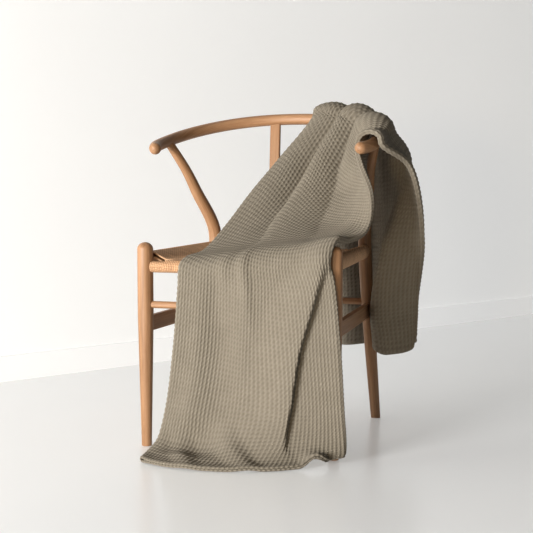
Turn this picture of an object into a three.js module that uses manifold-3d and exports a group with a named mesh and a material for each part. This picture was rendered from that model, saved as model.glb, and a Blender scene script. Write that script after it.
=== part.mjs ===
// A waffle-knit blanket, folded once along its length and draped over a plain bow-back chair.
// Millimetres, +Z up. The front legs stand at y = 0, the back of the chair is at +y, and the
// blanket lies over the +x arm. The finished group is moved so that its origin is at the middle
// of the floor under it.

import * as THREE from 'three';
import { mergeVertices } from 'three/addons/utils/BufferGeometryUtils.js';
import Module from 'manifold-3d';

const wasm = await Module();
wasm.setup();

const SEAM_GAP = 0.45;
const ROUND_SIDES = 16;
const DOME_STEPS = 4;
const JOINT_DEPTH = 6;
const UP = new THREE.Vector3(0, 0, 1);
const ASIDE = new THREE.Vector3(1, 0, 0);

// Chair sizes
const FRONT_LEG = { x: 220, height: 466, dome: 13, topRadius: 18, footRadius: 11.5, taperFrom: 300 };
const BOW = {
  radius: 14,
  halfWidth: 262,
  sideY: 185,
  backY: 470,
  armEnd: new THREE.Vector3(247, 127, 677),
  backHeight: 754,
  roundness: 2.14,
  climb: 1.2,
  armTurn: 12,
  steps: 36,
};
const FRONT_RAIL = { z: 410, radius: 11.5 };
const BACK_RAIL = { z: 410, radius: 11.5 };
const SIDE_RAIL = { z: 424, radius: 13 };
const FRONT_STRETCHER = { z: 325, radius: 8 };
const BACK_STRETCHER = { z: 300, radius: 8 };
const SIDE_BOARD = { z: 280, height: 36, thickness: 13 };
const SEAT = { rim: 426.5, sideRise: 19.5, sag: 9, thickness: 3.5, overhang: 7, across: 16, along: 8 };
const SLAT = { topX: 55, footX: 40, width: 26, thickness: 11, footSetIn: 6, footDepth: 60 };
const POST = table(['x', 'y', 'z', 'radius'], [
  [214, 454, 0, 12],
  [206, 427, 180, 15],
  [197, 399, 400, 16.5],
  [197, 391, 477, 16],
  [219, 326, 571, 14],
  [232, 286, 626, 12],
  [257, 234, 694, 10.5],
]);
const POST_STEPS = 3;

// Blanket sizes
const BLANKET = {
  foldedWidth: 500,
  layer: 4.5,
  layerGap: 1.5,
  edgeSwell: 1.6,
  edgeSwellReach: 45,
  columns: 30,
  rows: 43,
  smoothing: 3,
  bendReach: 14,
  foldTurns: [-45, -90, -135],
  rollTurns: [150, 100, 50],
  underShort: 11,
};
const THICKNESS = 2 * BLANKET.layer + BLANKET.layerGap;
const FINE = { across: 160, along: 600 };

// Sections across the cloth, from its front hem on the floor to the inside of the arm. Each has four
// points on the outer face, from the folded edge on the left to the rolled edge on the right.
const FRONT_SECTIONS = table(['name', 'left', 'leftMiddle', 'rightMiddle', 'right'], [
  ['front hem', [-172, -150, 13], [-40, -186, 12], [120, -146, 12], [258, -42, 18]],
  ['floor', [-176, -104, 15], [-38, -140, 13], [119, -116, 14], [260, -42, 32]],
  ['floor bend', [-164, -72, 38], [-35, -92, 38], [118, -82, 40], [258, -40, 56]],
  ['low fall', [-152, -54, 100], [-25, -56, 104], [120, -54, 104], [252, -38, 110]],
  ['mid fall', [-138, -40, 240], [-15, -42, 240], [114, -42, 240], [243, -35, 240]],
  ['high fall', [-129, -34, 370], [-10, -35, 370], [112, -35, 370], [229, -34, 376]],
  ['seat nose', [-127, -29, 420], [-9, -30, 422], [106, -31, 430], [219, -38, 442]],
  ['seat brow', [-121, -11, 444], [-4, -8, 446], [108, -9, 457], [227, -13, 492]],
  ['seat', [-101, 46, 456], [20, 56, 468], [130, 60, 476], [242, 44, 492]],
  ['low slope', [-79, 138, 497], [48, 150, 506], [160, 138, 508], [263, 88, 510]],
  ['mid slope', [-50, 245, 576], [82, 245, 568], [190, 205, 570], [262, 110, 574]],
  ['high slope', [-12, 360, 656], [112, 330, 652], [208, 255, 650], [241, 122, 636]],
]);

// Sections over the bow: distances out of its centre line and above it.
const BOW_SECTIONS = table(['name', 'out', 'up'], [
  ['bow inside', -30, 2],
  ['bow inner brow', -21, 22],
  ['bow crest', 0, 30],
  ['bow outer brow', 22, 22],
  ['bow outside', 30, 2],
]);
const BOW_TURNS = { left: 10.5, right: 96 };

// Sections of the part that hangs behind and beside the chair, down to the back hem.
const BACK_SECTIONS = table(['name', 'left', 'leftMiddle', 'rightMiddle', 'right'], [
  ['back shoulder', [60, 508, 690], [170, 468, 672], [284, 380, 650], [340, 226, 640]],
  ['back middle', [70, 530, 470], [172, 508, 470], [292, 425, 470], [358, 318, 462]],
  ['back low', [80, 545, 290], [172, 528, 290], [267, 470, 292], [319, 425, 294]],
  ['back hem', [84, 550, 175], [170, 530, 177], [263, 478, 183], [315, 437, 175]],
]);

// Folds along the cloth. Each row gives, at a section, the fold's distance from the folded edge, its
// rise, its width to the left and right of the crest, and how far its crest leans to the left. Pleats
// are round and meet in creases, and the other folds are soft on both sides.
const FOLD_COLUMNS = ['at', 'across', 'rise', 'left', 'right', 'lean'];
const PLEATS = {
  firstStrip: table(FOLD_COLUMNS, [
    ['seat', 70, 0, 70, 70, 0],
    ['low slope', 68, 5, 68, 76, 0],
    ['mid slope', 62, 14, 62, 66, 0],
    ['high slope', 62, 22, 62, 62, 0],
    ['bow crest', 76, 14, 76, 52, 0],
    ['back shoulder', 68, 12, 58, 60, 0],
    ['back middle', 62, 0, 56, 54, 0],
  ]),
  secondStrip: table(FOLD_COLUMNS, [
    ['high fall', 268, 0, 60, 134, 0],
    ['seat', 245, 8, 66, 125, 6],
    ['low slope', 210, 20, 66, 110, 8],
    ['mid slope', 186, 28, 58, 92, 10],
    ['high slope', 182, 32, 58, 62, 8],
    ['bow crest', 184, 19, 56, 54, 5],
    ['back shoulder', 186, 16, 54, 54, 0],
    ['back middle', 190, 0, 50, 60, 0],
  ]),
  thirdStrip: table(FOLD_COLUMNS, [
    ['mid slope', 340, 0, 64, 107, 0],
    ['high slope', 310, 18, 66, 100, 2],
    ['bow crest', 308, 15, 70, 110, 2],
    ['back shoulder', 310, 16, 60, 90, 0],
    ['back middle', 312, 0, 50, 90, 0],
  ]),
};
const FOLDS = {
  rightEdge: table(FOLD_COLUMNS, [
    ['high fall', 500, 0, 50, 60, 0],
    ['seat nose', 500, -5, 50, 60, 0],
    ['seat brow', 500, -6, 50, 60, 0],
    ['seat', 500, -10, 50, 60, 0],
    ['low slope', 500, -12, 60, 60, 0],
    ['high slope', 500, -1, 80, 60, 0],
    ['bow inside', 500, 6, 80, 60, 0],
    ['bow crest', 500, 8, 80, 60, 0],
    ['bow outside', 500, 6, 80, 60, 0],
    ['back shoulder', 500, 0, 80, 60, 0],
  ]),
  lap: table(FOLD_COLUMNS, [
    ['floor', 330, 0, 107, 60, 0],
    ['floor bend', 330, 13, 107, 52, -9],
    ['low fall', 330, 27, 116, 52, -13],
    ['mid fall', 362, 28, 125, 52, -13],
    ['high fall', 424, 23, 125, 52, -11],
    ['seat nose', 470, 12, 90, 50, -6],
    ['seat brow', 480, 0, 80, 50, 0],
  ]),
  broadDip: table(FOLD_COLUMNS, [
    ['floor', 152, 0, 98, 80, 0],
    ['low fall', 156, -13, 90, 90, 0],
    ['mid fall', 147, -15, 80, 80, 0],
    ['high fall', 134, -8, 62, 62, 0],
    ['seat nose', 125, 0, 54, 54, 0],
  ]),
  browLeft: table(FOLD_COLUMNS, [
    ['mid fall', 150, 0, 34, 28, 0],
    ['high fall', 148, 6, 32, 26, 0],
    ['seat nose', 147, 8, 32, 26, 0],
    ['seat brow', 146, 7, 32, 28, 0],
    ['seat', 140, 0, 34, 34, 0],
  ]),
  browMiddle: table(FOLD_COLUMNS, [
    ['mid fall', 236, 0, 34, 28, 0],
    ['high fall', 222, 6, 32, 26, 0],
    ['seat nose', 212, 7, 32, 26, 0],
    ['seat brow', 208, 6, 32, 28, 0],
    ['seat', 204, 0, 34, 34, 0],
  ]),
  hemArch: table(FOLD_COLUMNS, [
    ['front hem', 430, 24, 40, 40, 0],
    ['floor', 420, 14, 40, 40, 0],
    ['floor bend', 410, 0, 40, 40, 0],
  ]),
  knee: table(FOLD_COLUMNS, [
    ['floor', 110, 0, 130, 140, 0],
    ['floor bend', 110, -20, 130, 140, 0],
    ['low fall', 120, 12, 130, 140, 0],
    ['mid fall', 130, 0, 130, 140, 0],
  ]),
  toeLeft: table(FOLD_COLUMNS, [
    ['front hem', 150, 2, 44, 40, 0],
    ['floor', 120, 8, 46, 38, 0],
    ['floor bend', 84, 9, 48, 42, 0],
    ['low fall', 36, 0, 44, 44, 0],
  ]),
  toeMiddle: table(FOLD_COLUMNS, [
    ['front hem', 290, 3, 46, 34, 0],
    ['floor', 264, 9, 50, 36, 0],
    ['floor bend', 218, 11, 54, 38, 0],
    ['low fall', 186, 0, 46, 44, 0],
  ]),
  backFirst: table(FOLD_COLUMNS, [
    ['bow outside', 98, 0, 62, 62, 0],
    ['back shoulder', 98, -10, 68, 62, 0],
    ['back middle', 99, -29, 80, 68, 0],
    ['back hem', 100, -34, 86, 72, 0],
  ]),
  backSecond: table(FOLD_COLUMNS, [
    ['bow outside', 205, 0, 54, 54, 0],
    ['back middle', 183, 16, 54, 54, 0],
    ['back hem', 178, 24, 56, 56, 0],
  ]),
  backCrease: table(FOLD_COLUMNS, [
    ['bow outside', 339, 0, 46, 46, 0],
    ['back shoulder', 339, 14, 48, 48, 0],
    ['back middle', 330, 14, 48, 48, 0],
    ['back low', 321, 0, 46, 46, 0],
  ]),
  backTube: table(FOLD_COLUMNS, [
    ['back shoulder', 384, 0, 116, 98, 0],
    ['back middle', 379, -76, 116, 126, -4],
    ['back low', 374, -110, 112, 128, -18],
    ['back hem', 368, -110, 107, 128, -26],
  ]),
};

// Turns rows of values into objects with the named columns.
function table(columns, rows) {
  return rows.map((row) => Object.fromEntries(columns.map((column, i) => [column, row[i]])));
}

// One closed mesh through equal rings of points, its ends closed to the middle of the end rings.
function loft(rings) {
  const sides = rings[0].length;
  const points = rings.flat();
  const faces = [];
  for (let i = 0; i < rings.length - 1; i += 1) {
    for (let k = 0; k < sides; k += 1) {
      const a = i * sides + k;
      const b = i * sides + ((k + 1) % sides);
      faces.push(a, b, b + sides, a, b + sides, a + sides);
    }
  }
  const first = points.length;
  points.push(centre(rings[0]), centre(rings.at(-1)));
  const lastRing = (rings.length - 1) * sides;
  for (let k = 0; k < sides; k += 1) {
    const next = (k + 1) % sides;
    faces.push(first, next, k, first + 1, lastRing + k, lastRing + next);
  }
  return indexed(points, faces);
}

function centre(points) {
  const sum = new THREE.Vector3();
  points.forEach((point) => sum.add(point));
  return sum.divideScalar(points.length);
}

function indexed(points, faces) {
  const geometry = new THREE.BufferGeometry();
  geometry.setFromPoints(points);
  geometry.setIndex(faces);
  return geometry;
}

// One closed mesh between two equal grids of points, the upper one facing out.
function slab(upper, lower) {
  const columns = upper[0].length;
  const points = [...upper.flat(), ...lower.flat()];
  const below = upper.length * columns;
  const faces = [];
  const quad = (a, b, c, d) => {
    if (points[a].distanceTo(points[c]) < points[b].distanceTo(points[d])) {
      faces.push(a, b, c, a, c, d);
    } else {
      faces.push(a, b, d, b, c, d);
    }
  };
  for (let i = 0; i < upper.length - 1; i += 1) {
    for (let k = 0; k < columns - 1; k += 1) {
      const a = i * columns + k;
      quad(a, a + 1, a + columns + 1, a + columns);
      quad(a + below, a + below + columns, a + below + columns + 1, a + below + 1);
    }
  }
  const last = (upper.length - 1) * columns;
  for (let k = 0; k < columns - 1; k += 1) {
    quad(k, k + below, k + below + 1, k + 1);
    quad(last + k, last + k + 1, last + k + 1 + below, last + k + below);
  }
  for (let i = 0; i < upper.length - 1; i += 1) {
    const a = i * columns;
    const b = a + columns - 1;
    quad(a, a + columns, a + columns + below, a + below);
    quad(b, b + below, b + columns + below, b + columns);
  }
  return indexed(points, faces);
}

// A ring of points around a place, square to a direction. Its first point is to the side that the
// bar's own reference direction gives, so that rings along one bar don't twist.
function ring(place, direction, radius, reference) {
  const other = new THREE.Vector3().crossVectors(direction, reference).normalize();
  const level = new THREE.Vector3().crossVectors(other, direction).normalize();
  return Array.from({ length: ROUND_SIDES }, (_, k) => {
    const angle = (2 * Math.PI * k) / ROUND_SIDES;
    const point = place.clone().addScaledVector(level, radius * Math.cos(angle));
    return point.addScaledVector(other, radius * Math.sin(angle));
  });
}

// A straight round bar between two axes, its ends a little short of them.
function rod(from, to, radius) {
  const direction = to.clone().sub(from).normalize();
  const start = from.clone().addScaledVector(direction, JOINT_DEPTH);
  const end = to.clone().addScaledVector(direction, -JOINT_DEPTH);
  return loft([start, end].map((place) => ring(place, direction, radius, UP)));
}

// A straight board between two axes, its height in the direction given as up.
function board(from, to, width, height, up) {
  const length = from.distanceTo(to) - 2 * JOINT_DEPTH;
  const geometry = new THREE.BoxGeometry(width, height, length);
  const turn = new THREE.Matrix4().lookAt(to, from, up);
  geometry.applyMatrix4(turn.setPosition(from.clone().lerp(to, 0.5)));
  return geometry;
}

// Solids for joining and cutting
function solid(geometry) {
  const plain = geometry.clone();
  plain.deleteAttribute('normal');
  plain.deleteAttribute('uv');
  const merged = mergeVertices(plain);
  const vertProperties = new Float32Array(merged.attributes.position.array);
  const triVerts = new Uint32Array(merged.index.array);
  return new wasm.Manifold(new wasm.Mesh({ numProp: 3, vertProperties, triVerts }));
}

function cut(geometry, ...neighbours) {
  let result = solid(geometry);
  neighbours.forEach((neighbour) => {
    result = result.subtract(solid(neighbour));
  });
  const mesh = result.getMesh();
  const shape = new THREE.BufferGeometry();
  shape.setAttribute('position', new THREE.BufferAttribute(new Float32Array(mesh.vertProperties), 3));
  shape.setIndex([...mesh.triVerts]);
  return shape;
}

// Chair
function frontLeg(side, clearance = 0) {
  const { height, dome, topRadius, footRadius, taperFrom } = FRONT_LEG;
  const profile = [
    new THREE.Vector2(0, 0),
    new THREE.Vector2(footRadius + clearance, 0),
    new THREE.Vector2(topRadius + clearance, taperFrom),
    new THREE.Vector2(topRadius + clearance, height - dome),
  ];
  for (let k = 1; k < DOME_STEPS; k += 1) {
    const angle = (k / DOME_STEPS) * (Math.PI / 2);
    const radius = (topRadius + clearance) * Math.cos(angle);
    profile.push(new THREE.Vector2(radius, height - dome + (dome + clearance) * Math.sin(angle)));
  }
  profile.push(new THREE.Vector2(0, height + clearance));
  const leg = new THREE.LatheGeometry(profile, ROUND_SIDES);
  leg.rotateX(Math.PI / 2);
  leg.translate(side * FRONT_LEG.x, 0, 0);
  return leg;
}

// Centre line of the bow. The turn is in degrees from the middle of the back, 90 at the side, and
// the arm then runs on to its end.
function bowPoint(turn) {
  const side = Math.sign(turn);
  const size = Math.abs(turn);
  const angle = THREE.MathUtils.degToRad(Math.min(size, 90));
  const arm = THREE.MathUtils.clamp((size - 90) / BOW.armTurn, 0, 1);
  const power = 2 / BOW.roundness;
  const bend = BOW.armEnd.x - BOW.halfWidth;
  const x = BOW.halfWidth * Math.sin(angle) ** power + bend * arm * arm;
  const cosine = Math.max(Math.cos(angle), 0);
  const y = BOW.sideY + (BOW.backY - BOW.sideY) * cosine ** power + (BOW.armEnd.y - BOW.sideY) * arm;
  const climbed = (y - BOW.armEnd.y) / (BOW.backY - BOW.armEnd.y);
  const z = BOW.armEnd.z + (BOW.backHeight - BOW.armEnd.z) * Math.max(climbed, 0) ** BOW.climb;
  return new THREE.Vector3(side * x, y, z);
}

function bowDirection(turn) {
  const step = 0.5;
  return bowPoint(turn + step).sub(bowPoint(turn - step)).normalize();
}

function bowRail(clearance = 0) {
  const radius = BOW.radius + clearance;
  const end = 90 + BOW.armTurn;
  const rings = [];
  const cap = (side) => {
    const inward = bowPoint(side * (end - 1)).sub(bowPoint(side * end)).normalize();
    return Array.from({ length: DOME_STEPS - 1 }, (_, k) => {
      const angle = ((k + 1) / DOME_STEPS) * (Math.PI / 2);
      const place = bowPoint(side * end).addScaledVector(inward, -radius * Math.sin(angle));
      const direction = inward.clone().multiplyScalar(-side);
      return ring(place, direction, radius * Math.cos(angle), UP);
    });
  };
  rings.push(...cap(-1).reverse());
  for (let k = 0; k <= BOW.steps; k += 1) {
    const turn = -end + (2 * end * k) / BOW.steps;
    const inside = THREE.MathUtils.clamp(turn, -end + 1, end - 1);
    rings.push(ring(bowPoint(turn), bowDirection(inside), radius, UP));
  }
  rings.push(...cap(1));
  return loft(rings);
}

function postLine(side) {
  return new THREE.CatmullRomCurve3(POST.map((row) => new THREE.Vector3(side * row.x, row.y, row.z)));
}

function rearPost(side, clearance = 0) {
  const curve = postLine(side);
  const steps = POST_STEPS * (POST.length - 1);
  const rings = Array.from({ length: steps + 1 }, (_, k) => {
    const place = k / POST_STEPS;
    const row = Math.min(Math.floor(place), POST.length - 2);
    const radius = THREE.MathUtils.lerp(POST[row].radius, POST[row + 1].radius, place - row);
    return ring(curve.getPoint(k / steps), curve.getTangent(k / steps), radius + clearance, ASIDE);
  });
  rings[0].forEach((point) => point.setZ(0));
  return loft(rings);
}

// The place on a rear post's centre line that is nearest to a height.
function postAt(side, z) {
  const fineSteps = 400;
  const places = postLine(side).getPoints(fineSteps);
  const miss = (place) => Math.abs(place.z - z);
  const nearest = places.reduce((best, place) => (miss(place) < miss(best) ? place : best));
  return nearest.setZ(z);
}

function legAt(side, z) {
  return new THREE.Vector3(side * FRONT_LEG.x, 0, z);
}

// Woven seat: a thin dished panel over the rails, higher along its sides.
function seatPanel(clearance = 0, depth = SEAT.thickness) {
  const { rim, sideRise, sag, overhang, across, along } = SEAT;
  const back = postAt(1, rim);
  const grid = (drop) => Array.from({ length: along + 1 }, (_, i) => {
    const v = (2 * i) / along - 1;
    const share = i / along;
    const half = THREE.MathUtils.lerp(FRONT_LEG.x, back.x, share) + overhang;
    const y = THREE.MathUtils.lerp(-overhang, back.y + overhang, share);
    return Array.from({ length: across + 1 }, (_, k) => {
      const u = (2 * k) / across - 1;
      const dish = sag * (1 - u * u) * (1 - v * v);
      return new THREE.Vector3(u * half, y, rim + sideRise * u ** 4 - dish - drop);
    });
  });
  return slab(grid(-clearance), grid(depth));
}

function slat(side) {
  const foot = new THREE.Vector3(side * SLAT.footX, postAt(side, SEAT.rim).y - SLAT.footSetIn, BACK_RAIL.z);
  const angle = THREE.MathUtils.radToDeg(Math.asin((SLAT.topX / BOW.halfWidth) ** (BOW.roundness / 2)));
  return board(foot, bowPoint(side * angle), SLAT.width, SLAT.thickness, new THREE.Vector3(0, 1, 0));
}

// Blanket
const STATIONS = [...FRONT_SECTIONS, ...BOW_SECTIONS, ...BACK_SECTIONS].map((row) => row.name);
const GUIDES = guideLines();

// Four lines along the cloth, through the points of all sections.
function guideLines() {
  const columns = ['left', 'leftMiddle', 'rightMiddle', 'right'];
  return columns.map((column, k) => {
    const share = k / (columns.length - 1);
    const turn = THREE.MathUtils.lerp(BOW_TURNS.left, BOW_TURNS.right, share);
    const direction = bowDirection(turn);
    const out = new THREE.Vector3(-direction.y, direction.x, 0).normalize();
    const overBow = BOW_SECTIONS.map((row) => {
      const point = bowPoint(turn);
      point.addScaledVector(out, row.out);
      point.z += row.up;
      return point;
    });
    const front = FRONT_SECTIONS.map((row) => new THREE.Vector3(...row[column]));
    const back = BACK_SECTIONS.map((row) => new THREE.Vector3(...row[column]));
    return new THREE.CatmullRomCurve3([...front, ...overBow, ...back], false, 'centripetal');
  });
}

// The cloth without its folds, at a share of the width and a station along the length.
function plainCloth(share, station) {
  const point = new THREE.Vector3();
  GUIDES.forEach((guide, k) => {
    let weight = 1;
    GUIDES.forEach((_, j) => {
      if (j !== k) {
        weight *= (share * (GUIDES.length - 1) - j) / (k - j);
      }
    });
    point.addScaledVector(guide.getPoint(station / (STATIONS.length - 1)), weight);
  });
  return point;
}

// Unit directions across, along and out of a surface given as a function of share and station.
function axes(surface, share, station, reach = 0.002) {
  const step = 0.002;
  const end = STATIONS.length - 1;
  const from = Math.max(station - step, 0);
  const to = Math.min(station + step, end);
  const right = Math.min(share + reach, 1);
  const left = Math.max(share - reach, 0);
  const across = surface(right, station).sub(surface(left, station)).normalize();
  const along = surface(share, to).sub(surface(share, from)).normalize();
  const out = new THREE.Vector3().crossVectors(across, along).normalize();
  return { across, along, out };
}

// A value of a fold at a station, on a smooth line through the fold's rows.
function foldValue(rows, column, station) {
  const places = rows.map((row) => STATIONS.indexOf(row.at));
  const last = rows.length - 1;
  if (station <= places[0]) {
    return rows[0][column];
  }
  if (station >= places[last]) {
    return rows[last][column];
  }
  const i = places.findLastIndex((place) => place < station);
  const span = places[i + 1] - places[i];
  const slope = (k) => {
    if (k === 0 || k === last) {
      return 0;
    }
    return (rows[k + 1][column] - rows[k - 1][column]) / (places[k + 1] - places[k - 1]);
  };
  const w = (station - places[i]) / span;
  const rise = w * w * (3 - 2 * w);
  const leaving = w * (1 - w) * (1 - w) * span * slope(i);
  const arriving = w * w * (w - 1) * span * slope(i + 1);
  return THREE.MathUtils.lerp(rows[i][column], rows[i + 1][column], rise) + leaving + arriving;
}

function bell(distance, width) {
  const size = Math.min(Math.abs(distance) / width, 1);
  return (1 + Math.cos(Math.PI * size)) / 2;
}

function arch(distance, width) {
  const size = Math.min(Math.abs(distance) / width, 1);
  return 1 - size * size;
}

// The outer face of the cloth, with its folds.
function foldedCloth(share, station) {
  const point = plainCloth(share, station);
  const { across, out } = axes(plainCloth, share, station);
  const lift = (rows, shape) => {
    const distance = share * BLANKET.foldedWidth - foldValue(rows, 'across', station);
    const width = foldValue(rows, distance < 0 ? 'left' : 'right', station);
    const height = shape(distance, width);
    point.addScaledVector(out, height * foldValue(rows, 'rise', station));
    point.addScaledVector(across, -height * foldValue(rows, 'lean', station));
  };
  Object.values(PLEATS).forEach((rows) => lift(rows, arch));
  Object.values(FOLDS).forEach((rows) => lift(rows, bell));
  return point;
}

// Steps along a line of points that are closer where it bends, as values of its own counter.
function bendSteps(line, counters, count) {
  const length = [0];
  const turning = [0];
  for (let k = 1; k < line.length; k += 1) {
    length.push(length[k - 1] + line[k].distanceTo(line[k - 1]));
    const before = line[Math.max(k - 2, 0)];
    const bend = line[k].clone().sub(line[k - 1]).angleTo(line[k - 1].clone().sub(before));
    turning.push(turning[k - 1] + (k > 1 ? bend : 0));
  }
  const effort = length.map((value, k) => value / length.at(-1) + turning[k] / turning.at(-1));
  return Array.from({ length: count }, (_, i) => {
    const wanted = (effort.at(-1) * i) / (count - 1);
    const k = Math.min(Math.max(effort.findIndex((value) => value >= wanted - 1e-9), 1), line.length - 1);
    const part = (wanted - effort[k - 1]) / (effort[k] - effort[k - 1]);
    return THREE.MathUtils.lerp(counters[k - 1], counters[k], THREE.MathUtils.clamp(part, 0, 1));
  });
}

function spread(count, end) {
  return Array.from({ length: count }, (_, k) => (end * k) / (count - 1));
}

// Shares of the width for the columns of each row, closer at the folds of the rows around it.
function columnShares(stations) {
  const fine = spread(FINE.across, 1);
  const { columns, smoothing } = BLANKET;
  const own = stations.map((station) => {
    const line = fine.map((share) => foldedCloth(share, station));
    return bendSteps(line, fine, columns);
  });
  return own.map((_, i) => spread(columns, 1).map((__, k) => {
    const near = own.slice(Math.max(i - smoothing, 0), i + smoothing + 1);
    return near.reduce((sum, shares) => sum + shares[k], 0) / near.length;
  }));
}

// One row of the cloth's single layer: from the edge that is rolled in on the right over the upper
// layer to the folded edge on the left, round it, and back along the under layer.
function clothRow(station, shares) {
  const { foldedWidth, edgeSwell, edgeSwellReach, layer, layerGap } = BLANKET;
  const { foldTurns, rollTurns, underShort } = BLANKET;
  const first = (THICKNESS / 2 + edgeSwell) / foldedWidth;
  const last = 1 - first;
  const layerAt = (share) => {
    const fromEdge = Math.min(share - first, last - share) * foldedWidth;
    const half = layerGap / 2 + edgeSwell * bell(fromEdge, edgeSwellReach);
    const { out, across } = axes(foldedCloth, share, station, BLANKET.bendReach / foldedWidth);
    const middle = foldedCloth(share, station).addScaledVector(out, -THICKNESS / 2);
    return { middle, out, across, half };
  };
  const outside = [];
  const inside = [];
  const add = (place, direction) => {
    outside.push(place.middle.clone().addScaledVector(direction, place.half + layer));
    inside.push(place.middle.clone().addScaledVector(direction, place.half));
  };
  const turn = (place, degrees) => {
    const angle = THREE.MathUtils.degToRad(degrees);
    const direction = place.out.clone().multiplyScalar(Math.cos(angle));
    add(place, direction.addScaledVector(place.across, Math.sin(angle)));
  };
  const underLast = last - underShort / foldedWidth;
  const both = shares.map((share) => layerAt(THREE.MathUtils.lerp(first, underLast, share)));
  const edge = layerAt(last);
  rollTurns.forEach((degrees) => turn(edge, degrees));
  add(edge, edge.out);
  both.toReversed().forEach((place) => add(place, place.out));
  foldTurns.forEach((degrees) => turn(both[0], degrees));
  both.forEach((place) => add(place, place.out.clone().negate()));
  return { outside, inside };
}

function blanket() {
  const fine = spread(FINE.along, STATIONS.length - 1);
  const line = fine.map((station) => plainCloth(0.5, station));
  const stations = bendSteps(line, fine, BLANKET.rows);
  const shares = columnShares(stations);
  const rows = stations.map((station, i) => clothRow(station, shares[i]));
  return slab(rows.map((row) => row.inside), rows.map((row) => row.outside));
}

// Scene graph
const WOOD = { color: 0xa9764f, roughness: 0.5, metalness: 0 };
const CORD = { color: 0xa87f58, roughness: 0.8, metalness: 0 };
const KNIT = { color: 0x8d8471, roughness: 0.95, metalness: 0 };
const group = new THREE.Group();

function place(name, geometry, finish) {
  geometry.computeVertexNormals();
  const mesh = new THREE.Mesh(geometry, new THREE.MeshStandardMaterial(finish));
  mesh.name = name;
  group.add(mesh);
}

const SIDES = { left: -1, right: 1 };
const bothLegs = Object.values(SIDES).map((side) => frontLeg(side, SEAM_GAP));
const bothPosts = Object.values(SIDES).map((side) => rearPost(side, SEAM_GAP));

place('bow_rail', bowRail(), WOOD);
Object.entries(SIDES).forEach(([name, side]) => {
  const leg = frontLeg(side, SEAM_GAP);
  const post = rearPost(side, SEAM_GAP);
  const sideRail = rod(legAt(side, SIDE_RAIL.z), postAt(side, SIDE_RAIL.z), SIDE_RAIL.radius);
  const { z, thickness, height } = SIDE_BOARD;
  const sideBoard = board(legAt(side, z), postAt(side, z), thickness, height, UP);
  place(`front_leg_${name}`, frontLeg(side), WOOD);
  place(`rear_post_${name}`, cut(rearPost(side), bowRail(SEAM_GAP)), WOOD);
  place(`seat_rail_${name}`, cut(sideRail, leg, post), WOOD);
  place(`side_board_${name}`, cut(sideBoard, leg, post), WOOD);
  place(`slat_${name}`, cut(slat(side), bowRail(SEAM_GAP), seatPanel(SEAM_GAP, SLAT.footDepth)), WOOD);
});

const frontRail = rod(legAt(-1, FRONT_RAIL.z), legAt(1, FRONT_RAIL.z), FRONT_RAIL.radius);
const backRail = rod(postAt(-1, BACK_RAIL.z), postAt(1, BACK_RAIL.z), BACK_RAIL.radius);
const frontBar = rod(legAt(-1, FRONT_STRETCHER.z), legAt(1, FRONT_STRETCHER.z), FRONT_STRETCHER.radius);
const backBar = rod(postAt(-1, BACK_STRETCHER.z), postAt(1, BACK_STRETCHER.z), BACK_STRETCHER.radius);
place('seat_rail_front', cut(frontRail, ...bothLegs), WOOD);
place('seat_rail_back', cut(backRail, ...bothPosts), WOOD);
place('stretcher_front', cut(frontBar, ...bothLegs), WOOD);
place('stretcher_back', cut(backBar, ...bothPosts), WOOD);
place('seat', cut(seatPanel(), ...bothLegs, ...bothPosts), CORD);
place('blanket', blanket(), KNIT);

const box = new THREE.Box3().setFromObject(group);
const floorMiddle = box.getCenter(new THREE.Vector3());
group.position.set(-floorMiddle.x, -floorMiddle.y, -box.min.z);
group.updateMatrixWorld(true);

export default group;
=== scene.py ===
"""Dresses a waffle-knit blanket that lies folded over the seat and one arm of a bow-back chair.

Sizes in the tables are millimetres in the chair's own frame: x to the right, y to the back, z up,
with the front legs at y = 0. The frame's shift takes them to the part's frame, in metres.
"""

import logging
import math
from dataclasses import dataclass, field
from enum import Enum
from typing import Callable, NamedTuple, Sequence

import bpy
import numpy as np
from mathutils import Matrix, Vector
from mathutils.kdtree import KDTree


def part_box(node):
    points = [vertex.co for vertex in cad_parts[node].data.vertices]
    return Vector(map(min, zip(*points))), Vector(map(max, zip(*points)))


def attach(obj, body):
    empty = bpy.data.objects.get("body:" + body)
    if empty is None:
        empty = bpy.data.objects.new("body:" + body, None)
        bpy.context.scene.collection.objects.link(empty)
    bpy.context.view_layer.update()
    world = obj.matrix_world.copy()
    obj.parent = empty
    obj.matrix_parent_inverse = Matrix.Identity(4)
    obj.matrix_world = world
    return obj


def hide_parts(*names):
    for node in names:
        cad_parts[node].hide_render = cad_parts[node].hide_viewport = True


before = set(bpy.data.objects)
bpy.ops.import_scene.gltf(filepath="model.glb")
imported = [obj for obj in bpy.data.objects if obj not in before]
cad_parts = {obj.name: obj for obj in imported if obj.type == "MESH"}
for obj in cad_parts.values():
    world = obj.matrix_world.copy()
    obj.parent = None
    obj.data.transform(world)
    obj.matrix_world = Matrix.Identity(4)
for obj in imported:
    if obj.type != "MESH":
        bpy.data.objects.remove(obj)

Array = np.ndarray
Piece = bpy.types.Object
Paint = bpy.types.Material
Socket = bpy.types.NodeSocket
Pair = tuple[float, float]
Triple = tuple[float, float, float]
Stops = tuple[tuple[float, Triple], ...]
Cell = tuple[int, int]

LOG = logging.getLogger("draped_blanket")
MM = 0.001
HAIR = 0.1 * MM
FRONT_LEG_X = 220.0
UP = np.array((0.0, 0.0, 1.0))
WHITE = (1.0, 1.0, 1.0)
GRAIN_STEPS = 200
GRAIN_ASIDE = (0.31, 0.87, 0.38)
GRAIN_SHIFT, GRAIN_SHIFTS = 0.37, 11


class Side(Enum):
    """The two sides of the chair, with the sign of their x."""

    LEFT = -1
    RIGHT = 1

    @property
    def word(self) -> str:
        """The side as it stands in the names of pieces."""
        return self.name.lower()


class Slot(Enum):
    """Material slots."""

    WOOD = "wood"
    CORD = "cord"
    KNIT = "knit"


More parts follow.
